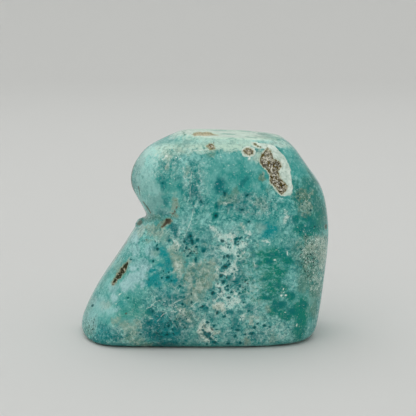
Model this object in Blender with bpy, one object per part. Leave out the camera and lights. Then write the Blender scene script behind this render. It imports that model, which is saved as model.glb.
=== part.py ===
"""Blue aragonite freeform: one polished stone, ground flat below so that it stands by itself.

The stone is a stack of rounded sections.  A head leans out on the left above a worn notch, a long
foot slopes down below it, a second flat is ground across the top, and small crystal pockets break
the skin.
Frame: origin at the middle of the base, +X towards the steep end, +Y to the back, +Z up.  Metres.
"""

import math

import bmesh
import bpy
from mathutils import Matrix, Vector

MM = 0.001

# Driving dimensions of the whole stone.
WIDTH = 80.4 * MM
DEPTH = 46.0 * MM
HEIGHT = 66.0 * MM

# How far the stone reaches each way, in shares of its width or depth, at a share of its height.
LEFT_END = [
    (0.00, -0.470),
    (0.03, -0.500),
    (0.10, -0.490),
    (0.25, -0.427),
    (0.40, -0.344),
    (0.50, -0.292),
    (0.55, -0.264),
    (0.58, -0.243),
    (0.61, -0.236),
    (0.66, -0.257),
    (0.75, -0.292),
    (0.82, -0.286),
    (0.88, -0.257),
    (0.93, -0.212),
    (0.97, -0.148),
    (1.00, -0.095),
]
RIGHT_END = [
    (0.00, 0.424),
    (0.03, 0.449),
    (0.10, 0.462),
    (0.30, 0.485),
    (0.50, 0.500),
    (0.63, 0.492),
    (0.75, 0.461),
    (0.87, 0.398),
    (0.95, 0.352),
    (1.00, 0.302),
]
FRONT = [
    (0.00, -0.432),
    (0.03, -0.480),
    (0.10, -0.498),
    (0.30, -0.500),
    (0.60, -0.468),
    (0.80, -0.430),
    (0.90, -0.396),
    (0.95, -0.352),
    (1.00, -0.252),
]
BACK = [
    (0.00, 0.425),
    (0.03, 0.474),
    (0.12, 0.498),
    (0.30, 0.498),
    (0.60, 0.455),
    (0.80, 0.412),
    (0.90, 0.370),
    (0.96, 0.318),
    (1.00, 0.255),
]

# How square each end is in plan: 2 is an ellipse, more is squarer.
LEFT_SQUARENESS = [(0.0, 5.2), (0.1, 4.4), (0.3, 3.4), (0.6, 2.7), (0.8, 2.4), (1.0, 2.3)]
RIGHT_SQUARENESS = [(0.0, 3.4), (0.5, 2.9), (1.0, 2.4)]

# Rings of the skin, closer together round the base edge, the notch and the top edge:
# from this share of the height, this many steps up to the next.
RING_BANDS = [(0.00, 4), (0.03, 3), (0.10, 9), (0.50, 10), (0.70, 7), (0.90, 8), (1.00, 0)]
COLUMNS = 88

# The flat across the top falls a little towards the right.
TOP_FALL = 0.05
TOP_FALL_STARTS = 0.76 * HEIGHT
TOP_FALL_PIVOT = -0.06 * WIDTH

# Broad faces left by the grinding wheel: which way each faces, how far it lies from the origin,
# and the share of the height where it runs out.
GROUND_FACES = [
    ("foot_front", (-0.80, -0.46, 0.38), 35.8 * MM, 0.50),
    ("steep_front", (0.90, -0.42, 0.08), 41.5 * MM, 1.20),
    ("back_left", (-0.55, 0.80, 0.24), 30.5 * MM, 1.20),
    ("back_right", (0.60, 0.78, 0.18), 36.5 * MM, 1.20),
]
GRIND_SOFTNESS = 2.2 * MM
GRIND_RUN_OUT = 0.10

# Crystal pockets that break the skin, each an oval hollow, in millimetres and degrees: its
# middle, its reach along its length, into the stone and across, and its lean from upright.
POCKETS = {
    "druse_upper": ((19.4, -16.7, 59.6), (3.0, 1.9, 1.9), 5.0),
    "druse_side": ((22.0, -17.0, 57.1), (2.1, 1.8, 1.6), -60.0),
    "druse_waist": ((21.5, -17.7, 54.3), (2.3, 1.7, 1.3), 10.0),
    "druse_lower": ((23.4, -18.0, 51.0), (3.1, 1.9, 1.6), 38.0),
    "small_vug": ((13.8, -16.4, 61.4), (1.5, 1.4, 1.5), 0.0),
    "foot_slot": ((-26.8, -13.0, 21.9), (4.0, 1.3, 0.8), -39.0),
    "notch_pit": ((-11.2, -17.6, 40.0), (1.2, 1.3, 0.9), -45.0),
    "top_hollow": ((0.9, -4.6, 66.3), (4.4, 3.4, 1.9), 90.0),
}
POCKET_FINENESS = 2


def clear_scene():
    for obj in list(bpy.data.objects):
        bpy.data.objects.remove(obj)


def stone_material():
    material = bpy.data.materials.new("polished_aragonite")
    material.use_nodes = True
    shader = material.node_tree.nodes["Principled BSDF"]
    shader.inputs["Base Color"].default_value = (0.16, 0.44, 0.41, 1.0)
    shader.inputs["Roughness"].default_value = 0.2
    shader.inputs["Metallic"].default_value = 0.0
    return material


def slope_at(outline, index):
    """The slope of an outline at one of its points, from the points on both sides."""
    before = outline[max(index - 1, 0)]
    after = outline[min(index + 1, len(outline) - 1)]
    return (after[1] - before[1]) / (after[0] - before[0])


def outline_at(outline, height):
    """The value of a smooth curve through the outline's points (cubic Hermite)."""
    index = max(i for i in range(len(outline) - 1) if outline[i][0] <= height or i == 0)
    (low, start), (high, end) = outline[index], outline[index + 1]
    step = high - low
    t = (height - low) / step
    rise = slope_at(outline, index) * step
    arrive = slope_at(outline, index + 1) * step
    lean = 3 * (end - start) - 2 * rise - arrive
    curl = 2 * (start - end) + rise + arrive
    return start + t * (rise + t * (lean + t * curl))


def ring_heights():
    """The height of every ring, as a share of the stone's height."""
    heights = []
    for (low, steps), (high, _) in zip(RING_BANDS, RING_BANDS[1:]):
        heights += [low + (high - low) * step / steps for step in range(steps)]
    return heights + [RING_BANDS[-1][0]]


def top_fall(x, z):
    """How far the tilt of the top flat lowers a point."""
    share = max(0.0, (z - TOP_FALL_STARTS) / (HEIGHT - TOP_FALL_STARTS))
    return TOP_FALL * (x - TOP_FALL_PIVOT) * share


def ground(point):
    """The point moved in to the ground faces that it stands proud of, with a soft edge."""
    for _, facing, distance, top in GROUND_FACES:
        normal = Vector(facing).normalized()
        proud = point.dot(normal) - distance
        left = max(0.0, min(1.0, (top - point.z / HEIGHT) / GRIND_RUN_OUT))
        if proud > GRIND_SOFTNESS:
            point = point - normal * proud * left
        elif proud > -GRIND_SOFTNESS:
            point = point - normal * left * (proud + GRIND_SOFTNESS) ** 2 / (4 * GRIND_SOFTNESS)
    return point


def stone_point(height, turn):
    """A point of the stone's skin at a share of its height and an angle in plan."""
    left = outline_at(LEFT_END, height) * WIDTH
    right = outline_at(RIGHT_END, height) * WIDTH
    front = outline_at(FRONT, height) * DEPTH
    back = outline_at(BACK, height) * DEPTH
    rightness = 0.5 + 0.5 * math.cos(turn)
    power = outline_at(LEFT_SQUARENESS, height) * (1 - rightness)
    power += outline_at(RIGHT_SQUARENESS, height) * rightness
    across = abs(math.cos(turn)) * 2 / (right - left)
    along = abs(math.sin(turn)) * 2 / (back - front)
    radius = (across**power + along**power) ** (-1 / power)
    x = 0.5 * (left + right) + radius * math.cos(turn)
    y = 0.5 * (front + back) + radius * math.sin(turn)
    z = height * HEIGHT
    point = ground(Vector((x, y, z)))
    point.z = z - top_fall(point.x, z)
    return point


def make_stone(collection):
    """A capped tube of rings, each of which takes the outline of the stone at its height."""
    heights = ring_heights()
    mesh = bmesh.new()
    bmesh.ops.create_cone(
        mesh, cap_ends=True, segments=COLUMNS, radius1=1.0, radius2=1.0, depth=1.0
    )
    uprights = [edge for edge in mesh.edges if abs(edge.verts[0].co.z - edge.verts[1].co.z) > 0.5]
    bmesh.ops.subdivide_edges(mesh, edges=uprights, cuts=len(heights) - 2)
    for vertex in mesh.verts:
        ring = round((vertex.co.z + 0.5) * (len(heights) - 1))
        vertex.co = stone_point(heights[ring], math.atan2(vertex.co.y, vertex.co.x))
    data = bpy.data.meshes.new("aragonite")
    mesh.to_mesh(data)
    mesh.free()
    stone = bpy.data.objects.new("aragonite", data)
    collection.objects.link(stone)
    data.materials.append(stone_material())
    data.shade_smooth()
    return stone


def make_cutter(name, middle, reaches, lean, collection):
    """An oval ball, longest along its leaning Z axis, that hollows out one pocket."""
    along, inwards, across = reaches
    mesh = bmesh.new()
    bmesh.ops.create_icosphere(mesh, subdivisions=POCKET_FINENESS, radius=MM)
    oval = Matrix.Diagonal((across, inwards, along, 1.0))
    bmesh.ops.transform(mesh, matrix=oval, verts=mesh.verts)
    data = bpy.data.meshes.new(name)
    mesh.to_mesh(data)
    mesh.free()
    cutter = bpy.data.objects.new(name, data)
    cutter.location = Vector(middle) * MM
    cutter.rotation_euler = (0.0, -math.radians(lean), 0.0)
    cutter.display_type = "WIRE"
    cutter.hide_render = True
    collection.objects.link(cutter)
    return cutter


def carve_pockets(stone, collection):
    for name, (middle, reaches, lean) in POCKETS.items():
        cut = stone.modifiers.new(name, "BOOLEAN")
        cut.operation = "DIFFERENCE"
        cut.solver = "EXACT"
        cut.object = make_cutter(name, middle, reaches, lean, collection)


def main():
    clear_scene()
    parts = bpy.data.collections.new("Blue_Aragonite")
    cutters = bpy.data.collections.new("Pocket_Cutters")
    bpy.context.scene.collection.children.link(parts)
    bpy.context.scene.collection.children.link(cutters)
    stone = make_stone(parts)
    carve_pockets(stone, cutters)


main()
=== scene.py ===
# %% [markdown]
# # A polished freeform of blue aragonite
# One stone, ground to stand by itself: a rounded head leans out over a worn notch, a long foot
# slopes down below it, and small crystal pockets break the polish.  The solid that carries its
# size is loaded first and is never changed.  Everything after that is about how it looks.

# %% Load the stone's frame
import math
import random

import bmesh
import bpy
import numpy as np
from mathutils import Matrix, Vector
from mathutils.bvhtree import BVHTree


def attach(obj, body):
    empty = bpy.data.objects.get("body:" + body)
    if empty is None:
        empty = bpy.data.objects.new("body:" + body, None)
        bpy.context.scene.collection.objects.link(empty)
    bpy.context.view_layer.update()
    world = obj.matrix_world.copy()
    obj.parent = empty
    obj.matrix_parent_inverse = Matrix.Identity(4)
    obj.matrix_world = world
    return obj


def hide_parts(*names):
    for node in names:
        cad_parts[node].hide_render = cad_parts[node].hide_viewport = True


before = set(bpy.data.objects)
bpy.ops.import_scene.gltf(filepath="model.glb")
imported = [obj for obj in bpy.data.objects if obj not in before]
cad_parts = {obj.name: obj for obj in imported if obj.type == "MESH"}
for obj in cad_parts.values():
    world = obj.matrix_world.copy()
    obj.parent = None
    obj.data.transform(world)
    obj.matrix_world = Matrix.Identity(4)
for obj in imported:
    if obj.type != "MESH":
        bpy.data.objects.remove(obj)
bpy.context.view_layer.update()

MM = 0.001

# %% [markdown]
# ## The camera
# The photograph looks down on the stone by ten degrees, from a little over forty centimetres
# away, through a long lens.  A viewpoint is a small class of its own here, because it does two
# jobs: it places the camera, and it says where a point of the stone lands in the picture.  The
# second job lets every mark be placed by where the photograph shows it.

# %% A viewpoint, and the camera that stands at the photograph's
PHOTO_SIDE = 416
PHOTO_MIDDLE = PHOTO_SIDE / 2
FOCAL_PIXELS = 1297.0
SENSOR = 36.0
CAMERA_DISTANCE = 420 * MM
CAMERA_TARGET = Vector((1.25, 0.0, 41.0)) * MM
PHOTO_ELEVATION = 10


class Viewpoint:
    """A place to look at the stone from, by its turn round the stone and its height in degrees."""

    def __init__(self, azimuth, elevation):
        turn, rise = math.radians(azimuth), math.radians(elevation)
        self.sight = Vector(
            (-math.sin(turn) * math.cos(rise), math.cos(turn) * math.cos(rise), -math.sin(rise))
        )
        self.right = Vector((math.cos(turn), math.sin(turn), 0.0))
        self.up = self.right.cross(self.sight)
        self.eye = CAMERA_TARGET - self.sight * CAMERA_DISTANCE

    def pixels(self, places):
        """Where places, an array in metres, land in a picture of the photograph's size."""
        rays = places - np.array(self.eye)
        depth = rays @ np.array(self.sight)
        across = PHOTO_MIDDLE + FOCAL_PIXELS * (rays @ np.array(self.right)) / depth
        down = PHOTO_MIDDLE - FOCAL_PIXELS * (rays @ np.array(self.up)) / depth
        return across, down

    def facing(self, places, normals):
        """How squarely each place faces this viewpoint: 1 head on, 0 edge on, less behind."""
        rays = np.array(self.eye) - places
        rays /= np.linalg.norm(rays, axis=1, keepdims=True)
        return (rays * normals).sum(axis=1)

    def ray(self, across, down):
        """The direction in which a pixel of the picture looks."""
        sideways = self.right * ((across - PHOTO_MIDDLE) / FOCAL_PIXELS)
        return (self.sight + sideways - self.up * ((down - PHOTO_MIDDLE) / FOCAL_PIXELS)).normalized()


photo = Viewpoint(0, PHOTO_ELEVATION)
behind = Viewpoint(180, PHOTO_ELEVATION)
camera_data = bpy.data.cameras.new("photo_camera")
camera_data.sensor_width = SENSOR
camera_data.lens = SENSOR * FOCAL_PIXELS / PHOTO_SIDE
camera = bpy.data.objects.new("photo_camera", camera_data)
bpy.context.scene.collection.objects.link(camera)
camera.location = photo.eye
camera.rotation_euler = photo.sight.to_track_quat("-Z", "Y").to_euler()
bpy.context.scene.camera = camera
print("lens in millimetres:", round(camera_data.lens, 1))

# %% [markdown]
# ## The stone's skin
# The solid is a coarse net of flat triangles.  A polished stone shows every facet as a broken
# reflection, so the looks need a finer skin.  A copy of the solid is merged, rounded by a
# Subdivision Surface and laid over with an even net by a voxel Remesh.

# %% Copy the solid and lay a fine, even net over it
NET = 0.78 * MM
SAME_PLACE = 0.001 * MM


def new_piece(name, mesh):
    """An object at the origin that holds the finished bmesh, with smooth shading."""
    data = bpy.data.meshes.new(name)
    mesh.to_mesh(data)
    mesh.free()
    data.shade_smooth()
    piece = bpy.data.objects.new(name, data)
    bpy.context.scene.collection.objects.link(piece)
    return piece


def finished(piece):
    """A new bmesh of the piece with its modifiers applied.  The piece itself is removed."""
    mesh = bmesh.new()
    mesh.from_object(piece, bpy.context.evaluated_depsgraph_get())
    bpy.data.objects.remove(piece)
    return mesh


rough = bmesh.new()
rough.from_mesh(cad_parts["aragonite"].data)
bmesh.ops.remove_doubles(rough, verts=rough.verts, dist=SAME_PLACE)
bmesh.ops.join_triangles(
    rough,
    faces=rough.faces,
    angle_face_threshold=math.radians(40),
    angle_shape_threshold=math.radians(40),
)
blank = new_piece("blank", rough)
rounding = blank.modifiers.new("rounding", "SUBSURF")
rounding.levels = rounding.render_levels = 2
net = blank.modifiers.new("net", "REMESH")
net.mode = "VOXEL"
net.voxel_size = NET
skin = finished(blank)
print("skin:", len(skin.verts), "points,", len(skin.faces), "faces")

# %% [markdown]
# ## Evening out the skin
# The pockets in the solid are plain oval hollows.  They are filled in again here, because the
# real pockets have ragged rims and rough floors and are cut later.  A Smooth modifier that works
# only near a hollow draws a taut sheet over it.  A second, light one takes the small steps of
# the voxel net out of the whole skin.

# %% Fill the plain hollows and smooth the skin
HOLLOWS = {
    "druse": ((21.5, -17.5, 55.5), 8.5),
    "vug": ((13.8, -16.4, 61.4), 3.0),
    "slot": ((-26.8, -13.0, 21.9), 5.5),
    "notch": ((-11.2, -17.6, 40.0), 3.0),
    "top": ((0.9, -4.6, 66.3), 6.0),
}


def is_hollow(point):
    """True near one of the solid's plain hollows."""
    return any((point - Vector(middle) * MM).length < reach * MM for middle, reach in HOLLOWS.values())


draft = new_piece("draft", skin)
group = draft.vertex_groups.new(name="hollows")
group.add([v.index for v in draft.data.vertices if is_hollow(v.co)], 1.0, "REPLACE")
for name, rounds, where in (("fill", 300, "hollows"), ("polish", 8, "")):
    smoothing = draft.modifiers.new(name, "SMOOTH")
    smoothing.iterations = rounds
    smoothing.factor = 0.5
    smoothing.vertex_group = where
skin = finished(draft)
print("skin without hollows:", len(skin.verts), "points")

# %% [markdown]
# ## A finer net where the photograph looks
# One pixel of the photograph covers about a third of a millimetre of the stone.  The front gets
# a net about as fine as that, because its colours are laid on point by point.  The back keeps
# the wider net, and the pockets are divided again before they are cut.

# %% Divide the front's faces once more
FRONT_FACING = 0.08


def divide(mesh, faces):
    """Split each of the faces in four."""
    edges = set()
    for face in faces:
        edges.update(face.edges)
    bmesh.ops.subdivide_edges(mesh, edges=list(edges), cuts=1, use_grid_fill=True, smooth=0.0)


skin.normal_update()
divide(skin, [face for face in skin.faces if face.normal.dot(photo.sight) < -FRONT_FACING])
print("skin with the finer front:", len(skin.verts), "points,", len(skin.faces), "faces")

# %% [markdown]
# ## Marks, and how they are laid on the stone
# Every patch, spot, line and pocket is described by where the photograph shows it, in pixels
# across and down.  A patch is an ellipse, a crack is a chain of points, and a pocket is an
# outline.  Each has a small function that says how deep inside the mark a place of the stone
# lies.  The answers are kept as numbers on the skin's points, and the material turns them into
# colour, so the marks stay on the stone from every side.

# %% Ellipses, lines and outlines
# What is said of a place with no mark near: in ellipse sizes and in pixels.
FAR_OUT = 9.0
FAR_OFF = 1000.0
# How far round a mark to look, to save time: in ellipse sizes and in pixels.
WINDOW = 2.5
NEARBY = 8


def nearest_reach(across, down, marks):
    """How far out places lie in the nearest ellipse: 0 at its middle, 1 on its outline.

    An ellipse is its middle across and down, half its width, half its height and, where it
    leans, its lean in degrees.
    """
    reach = np.full(len(across), FAR_OUT)
    for middle_across, middle_down, half_across, half_down, *lean in marks:
        turn = math.radians(lean[0] if lean else 0)
        right, below = across - middle_across, down - middle_down
        window = WINDOW * max(half_across, half_down)
        near = (np.abs(right) < window) & (np.abs(below) < window)
        right, below = right[near], below[near]
        along = (right * math.cos(turn) + below * math.sin(turn)) / half_across
        over = (below * math.cos(turn) - right * math.sin(turn)) / half_down
        reach[near] = np.minimum(reach[near], np.hypot(along, over))
    return reach


def line_gap(across, down, points, closed=False):
    """The distance in pixels from places to a chain of points."""
    gap = np.full(len(across), FAR_OFF)
    ends = points[1:] + points[:1] if closed else points[1:]
    for (ax, ay), (bx, by) in zip(points, ends):
        run, fall = bx - ax, by - ay
        share = ((across - ax) * run + (down - ay) * fall) / (run * run + fall * fall)
        share = np.clip(share, 0, 1)
        gap = np.minimum(gap, np.hypot(across - ax - share * run, down - ay - share * fall))
    return gap


def outline_depth(across, down, points):
    """The distance in pixels from places to a closed outline, less than 0 outside it."""
    inside = np.zeros(len(across), bool)
    for (ax, ay), (bx, by) in zip(points, points[1:] + points[:1]):
        if ay == by:
            continue
        crossing = ax + (down - ay) * (bx - ax) / (by - ay)
        inside ^= ((ay > down) != (by > down)) & (across < crossing)
    gap = line_gap(across, down, points, closed=True)
    return np.where(inside, gap, -gap)


def ease(low, high, values):
    """0 below low, 1 above high, and a smooth rise between them.  A low above high turns it round."""
    share = np.clip((values - low) / (high - low), 0, 1)
    return share * share * (3 - 2 * share)


def near_marks(across, down, points):
    """Which places lie so near a chain of points that it can mark them."""
    least, most = np.min(points, axis=0) - NEARBY, np.max(points, axis=0) + NEARBY
    return (across > least[0]) & (across < most[0]) & (down > least[1]) & (down < most[1])


# %% Random numbers that change softly over the stone
# How many waves are added up, how long they are against the wanted size, and how high.
WAVES = 14
WAVE_LENGTH = 1.7
WAVE_SPREAD = (0.55, 1.5)
WAVE_HEIGHT = 0.13


def wander(places, size, seed, count=3):
    """Soft random numbers for each place, mostly between -1 and 1, that change over size.

    Each is a sum of waves that run through the stone in random directions.  Another seed gives
    other waves, and the same seed gives the same ones every time.
    """
    chance = np.random.default_rng(seed)
    directions = chance.normal(size=(3, count * WAVES))
    directions /= np.linalg.norm(directions, axis=0)
    crests = 2 * math.pi / (WAVE_LENGTH * size) * chance.uniform(*WAVE_SPREAD, count * WAVES)
    phases = places @ (directions * crests) + chance.uniform(0, 2 * math.pi, count * WAVES)
    return np.sin(phases).reshape(len(places), count, WAVES).sum(axis=2) * WAVE_HEIGHT


def speckle(places, size, seed):
    """One soft random number for each place."""
    return wander(places, size, seed, 1)[:, 0]


def points_of(mesh):
    """The places and normals of a bmesh's points, as arrays."""
    mesh.normal_update()
    places = np.array([vertex.co[:] for vertex in mesh.verts])
    normals = np.array([vertex.normal[:] for vertex in mesh.verts])
    return places, normals


def move_points(mesh, places):
    """Put the bmesh's points at new places."""
    for vertex, place in zip(mesh.verts, places):
        vertex.co = place


# %% [markdown]
# ## Relief
# Polishing by hand leaves a skin that is never quite even: it swells and sinks by a tenth of a
# millimetre over a fingertip's width.  A worn groove runs in under the head, and a little brown
# crust is left standing on the edge below it.  These move the skin's points along their normals.

# %% Wavy polish, the groove under the head and the crust below it
SWELLS = {"broad": (9 * MM, 0.10 * MM), "small": (3.5 * MM, 0.025 * MM)}
GROOVE = [(143, 214), (148, 217), (154, 219.5), (160, 220.5), (166, 221.5)]
GROOVE_HALF_WIDTH = 4.0
GROOVE_DEPTH = 0.8 * MM
ROUND_THE_EDGE = -0.2
CRUSTS = [(140, 222.6, 4.2, 2.6, -40)]
CRUST_HEIGHT = 0.55 * MM
CRUST_EDGE = (1.15, 0.55)

places, normals = points_of(skin)
across, down = photo.pixels(places)
front = photo.facing(places, normals) > ROUND_THE_EDGE
lift = np.zeros(len(places))
for order, (size, height) in enumerate(SWELLS.values()):
    lift += speckle(places, size, 3 + order) * height
groove_gap = line_gap(across, down, GROOVE)
lift -= GROOVE_DEPTH * (1 - ease(0, GROOVE_HALF_WIDTH, groove_gap)) * front
ragged = 1 + 0.35 * speckle(places, 0.7 * MM, 9)
lift += CRUST_HEIGHT * ease(*CRUST_EDGE, nearest_reach(across, down, CRUSTS) * ragged) * front
move_points(skin, places + normals * lift[:, None])
print("relief in millimetres:", round(lift.min() / MM, 2), "to", round(lift.max() / MM, 2))

# %% [markdown]
# ## Pockets
# The real pockets are small caves that the polish has cut open: a sharp ragged rim, steep walls
# and a crusty floor.  The skin is divided again around them, and their points are pushed in, by
# more the deeper they lie inside the outline.  This keeps the skin one closed sheet.  A Boolean
# cut with a rough cutter would do the same with a far less even net.

# %% Outlines of the pockets
DRUSE = [
    (267.7, 147.8), (270.5, 150.9), (272.3, 155.5), (273.4, 158.4), (276.8, 160), (280.7, 162.5),
    (281.6, 166.4), (279.5, 170), (277.7, 171.4), (278.6, 173.6), (280.7, 179.1), (285, 183.4),
    (287.5, 186.4), (286.6, 190), (284.2, 192.9), (281.8, 194.8), (278.4, 191.8), (275.7, 187.3),
    (273, 184.5), (270.5, 182.7), (270.3, 179.1), (269.8, 174.5), (267.4, 170), (263, 167),
    (261.2, 164.5), (260.1, 161.8), (260, 158.2), (262.1, 153.6), (264.8, 150.9),
]
VUG = [
    (243.6, 150.5), (246, 148.2), (250, 147.8), (253.4, 150.8), (253, 154), (249.6, 155.6),
    (245.8, 154.2),
]
TOP_EDGE_SPOT = [
    (206.8, 145.6), (209.5, 143.8), (213.4, 144.6), (215, 148), (212.6, 150.2), (208.8, 148.6),
]
NOTCH_PIT = [
    (164.8, 220.8), (167, 218.6), (170.8, 218.8), (171.6, 221), (169.2, 223.4), (166.6, 224.2),
    (163.8, 226.8), (160.8, 227.6), (163.6, 224.2),
]
FOOT_SLOT = [
    (128.2, 261.8), (127.8, 264.8), (126.4, 268.6), (125.4, 271.8), (122.6, 274.4), (120.8, 277.8),
    (117.8, 279.4), (114.8, 283.4), (112.4, 284.8), (113, 281), (115.6, 277), (116.8, 274),
    (119.8, 271.4), (120.8, 268.6), (123.2, 266), (125, 263.2),
]
TOP_HOLLOW = [
    (194.6, 132.7), (198.6, 131.9), (203, 132.4), (208, 131.9), (211.4, 132.6), (213, 133.9),
    (218.6, 135.2), (211, 135.4), (205.6, 136), (200, 135.4), (194.6, 135.9), (192.4, 134.4),
]
SMALL_SPOTS = [(255.2, 144.2, 1.9, 1, 40), (257.8, 146.2, 1.3, 0.9, 30), (260.6, 147, 0.9, 0.8)]

HOLES = [
    (278, 163, 1.7, 1.3), (274.4, 163.4, 1.2, 1.2), (281.4, 186.6, 1.5, 1.5), (284, 185, 1.2, 1.2),
    (279, 181.6, 1.3, 1.2), (268.4, 163.6, 1, 1), (266.6, 155.4, 0.9, 0.9), (277.6, 168, 1, 1),
    (272, 177.6, 0.9, 0.8), (281.6, 191.6, 0.9, 0.8),
]
HOLE_DEPTH = 0.7 * MM
HOLE_EDGE = (1.3, 0.6)


class Pocket:
    """An outline in the photograph, with what the pocket inside it looks like.

    Its depth and the height of its crumbs are in millimetres.  Its wall is as wide as so many
    pixels, and its span is how many pixels' worth of stone one pixel covers there.  Floor and
    dust are the paints of its low and its high crumbs, and rim is how brown its rim is.
    """

    def __init__(self, outline, depth, wall, crumbs, floor, rim, span=1.0, dust=None):
        self.outline = outline
        self.depth = depth * MM
        self.wall = wall
        self.crumbs = crumbs * MM
        self.floor = floor
        self.rim = rim
        self.span = span
        self.dust = dust or floor


POCKETS = {
    "druse": Pocket(DRUSE, 1.0, 1.8, 0.25, "pocket brown", 0.8),
    "vug": Pocket(VUG, 0.40, 1.6, 0.16, "sand", 1.0),
    "top_edge_spot": Pocket(TOP_EDGE_SPOT, 0.28, 1.5, 0.14, "olive tan", 0.6),
    "notch_pit": Pocket(NOTCH_PIT, 0.35, 1.6, 0.20, "brown", 0.0),
    "foot_slot": Pocket(FOOT_SLOT, 0.60, 1.1, 0.22, "moss", 0.0, dust="sand"),
    "top_hollow": Pocket(TOP_HOLLOW, 0.7, 1.6, 0.32, "sand", 0.35, span=3.0),
}
NEAR_POCKET = 2.5
RAGGED = 0.80
SEEN = 0.02
OUTSIDE = -99.0
print("pockets:", ", ".join(POCKETS))


def pocket_depths(places, normals):
    """For each pocket, how many pixels inside its ragged outline the places lie."""
    across, down = photo.pixels(places)
    seen = photo.facing(places, normals) > SEEN
    ragged = RAGGED * (speckle(places, 0.45 * MM, 21) + 0.5 * speckle(places, 1.2 * MM, 22))
    depths = {}
    for name, pocket in POCKETS.items():
        near = seen & near_marks(across, down, pocket.outline)
        inside = outline_depth(across[near], down[near], pocket.outline) * pocket.span
        depths[name] = np.full(len(places), OUTSIDE)
        depths[name][near] = inside + ragged[near] * math.sqrt(pocket.span)
    return depths


# %% Divide the skin round the pockets and push their floors in
def divide_near_pockets(mesh, margin):
    """Split the faces that lie in a pocket or close round its rim."""
    places, normals = points_of(mesh)
    depths = pocket_depths(places, normals)
    near = np.max(np.array(list(depths.values())), axis=0) > -margin
    mesh.verts.index_update()
    divide(mesh, [face for face in mesh.faces if any(near[v.index] for v in face.verts)])


divide_near_pockets(skin, NEAR_POCKET)
places, normals = points_of(skin)
depths = pocket_depths(places, normals)
crumbs = 0.9 * speckle(places, 0.6 * MM, 31) + 0.7 * speckle(places, 0.3 * MM, 32)
sunk = np.zeros(len(places))
for name, pocket in POCKETS.items():
    sunk += ease(0, pocket.wall, depths[name]) * (pocket.depth + pocket.crumbs * crumbs)
hole_share = ease(*HOLE_EDGE, nearest_reach(*photo.pixels(places), HOLES))
hole_share *= ease(0, 1, depths["druse"])
sunk += hole_share * HOLE_DEPTH
flat_places = places
move_points(skin, places - normals * sunk[:, None])
skin.normal_update()
print("skin with its pockets:", len(skin.verts), "points,", len(skin.faces), "faces")

# %% [markdown]
# ## Colours
# The paints are the colours read off the photograph, named like a maker's tray.
# An upright surface gets a little less light than a level one, so each paint is made brighter
# than it looks.  The polish mirrors a little white, so each is then made a little deeper.

# %% The tray of paints
LIGHT_ON_FRONT = 0.77
MIRRORED = 0.006
SCREEN_POWER = 2.2
DARKEST = 0.002


def paint(red, green, blue):
    """The surface colour that looks like this colour (0 to 255) under the studio's light."""
    seen = np.array([(part / 255) ** SCREEN_POWER for part in (red, green, blue)])
    return np.clip(seen - MIRRORED, DARKEST, 1) / LIGHT_ON_FRONT


PAINTS = {
    "pale aqua": paint(158, 212, 204),
    "ice": paint(168, 205, 206),
    "soft aqua": paint(122, 186, 179),
    "mint": paint(184, 209, 191),
    "sea teal": paint(84, 160, 152),
    "teal": paint(44, 142, 136),
    "deep teal": paint(0, 108, 110),
    "ink teal": paint(0, 46, 45),
    "pool blue": paint(6, 138, 140),
    "green teal": paint(12, 124, 106),
    "sea green": paint(50, 138, 122),
    "dark green": paint(20, 98, 80),
    "blue grey": paint(90, 150, 147),
    "grey aqua": paint(134, 172, 167),
    "slate teal": paint(58, 124, 122),
    "grey green": paint(96, 136, 120),
    "pale grey": paint(160, 182, 168),
    "chalk": paint(218, 229, 219),
    "tan": paint(140, 160, 142),
    "olive": paint(92, 116, 92),
    "brown": paint(96, 92, 80),
    "dark brown": paint(54, 51, 41),
    "beige": paint(186, 186, 164),
    "pocket grey": paint(220, 218, 204),
    "pocket brown": paint(122, 110, 66),
    "moss": paint(56, 62, 48),
    "olive tan": paint(158, 152, 110),
    "sand": paint(204, 198, 172),
}
print("paints:", len(PAINTS))

# %% [markdown]
# ## Clouds of colour
# Each cloud is a few soft ellipses in one paint, with how strongly it covers.  They are laid on
# in order, the broad ones first, as a painter would block in a picture.  The edges of the clouds
# are torn by random pushes, so no ellipse shows.

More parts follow.
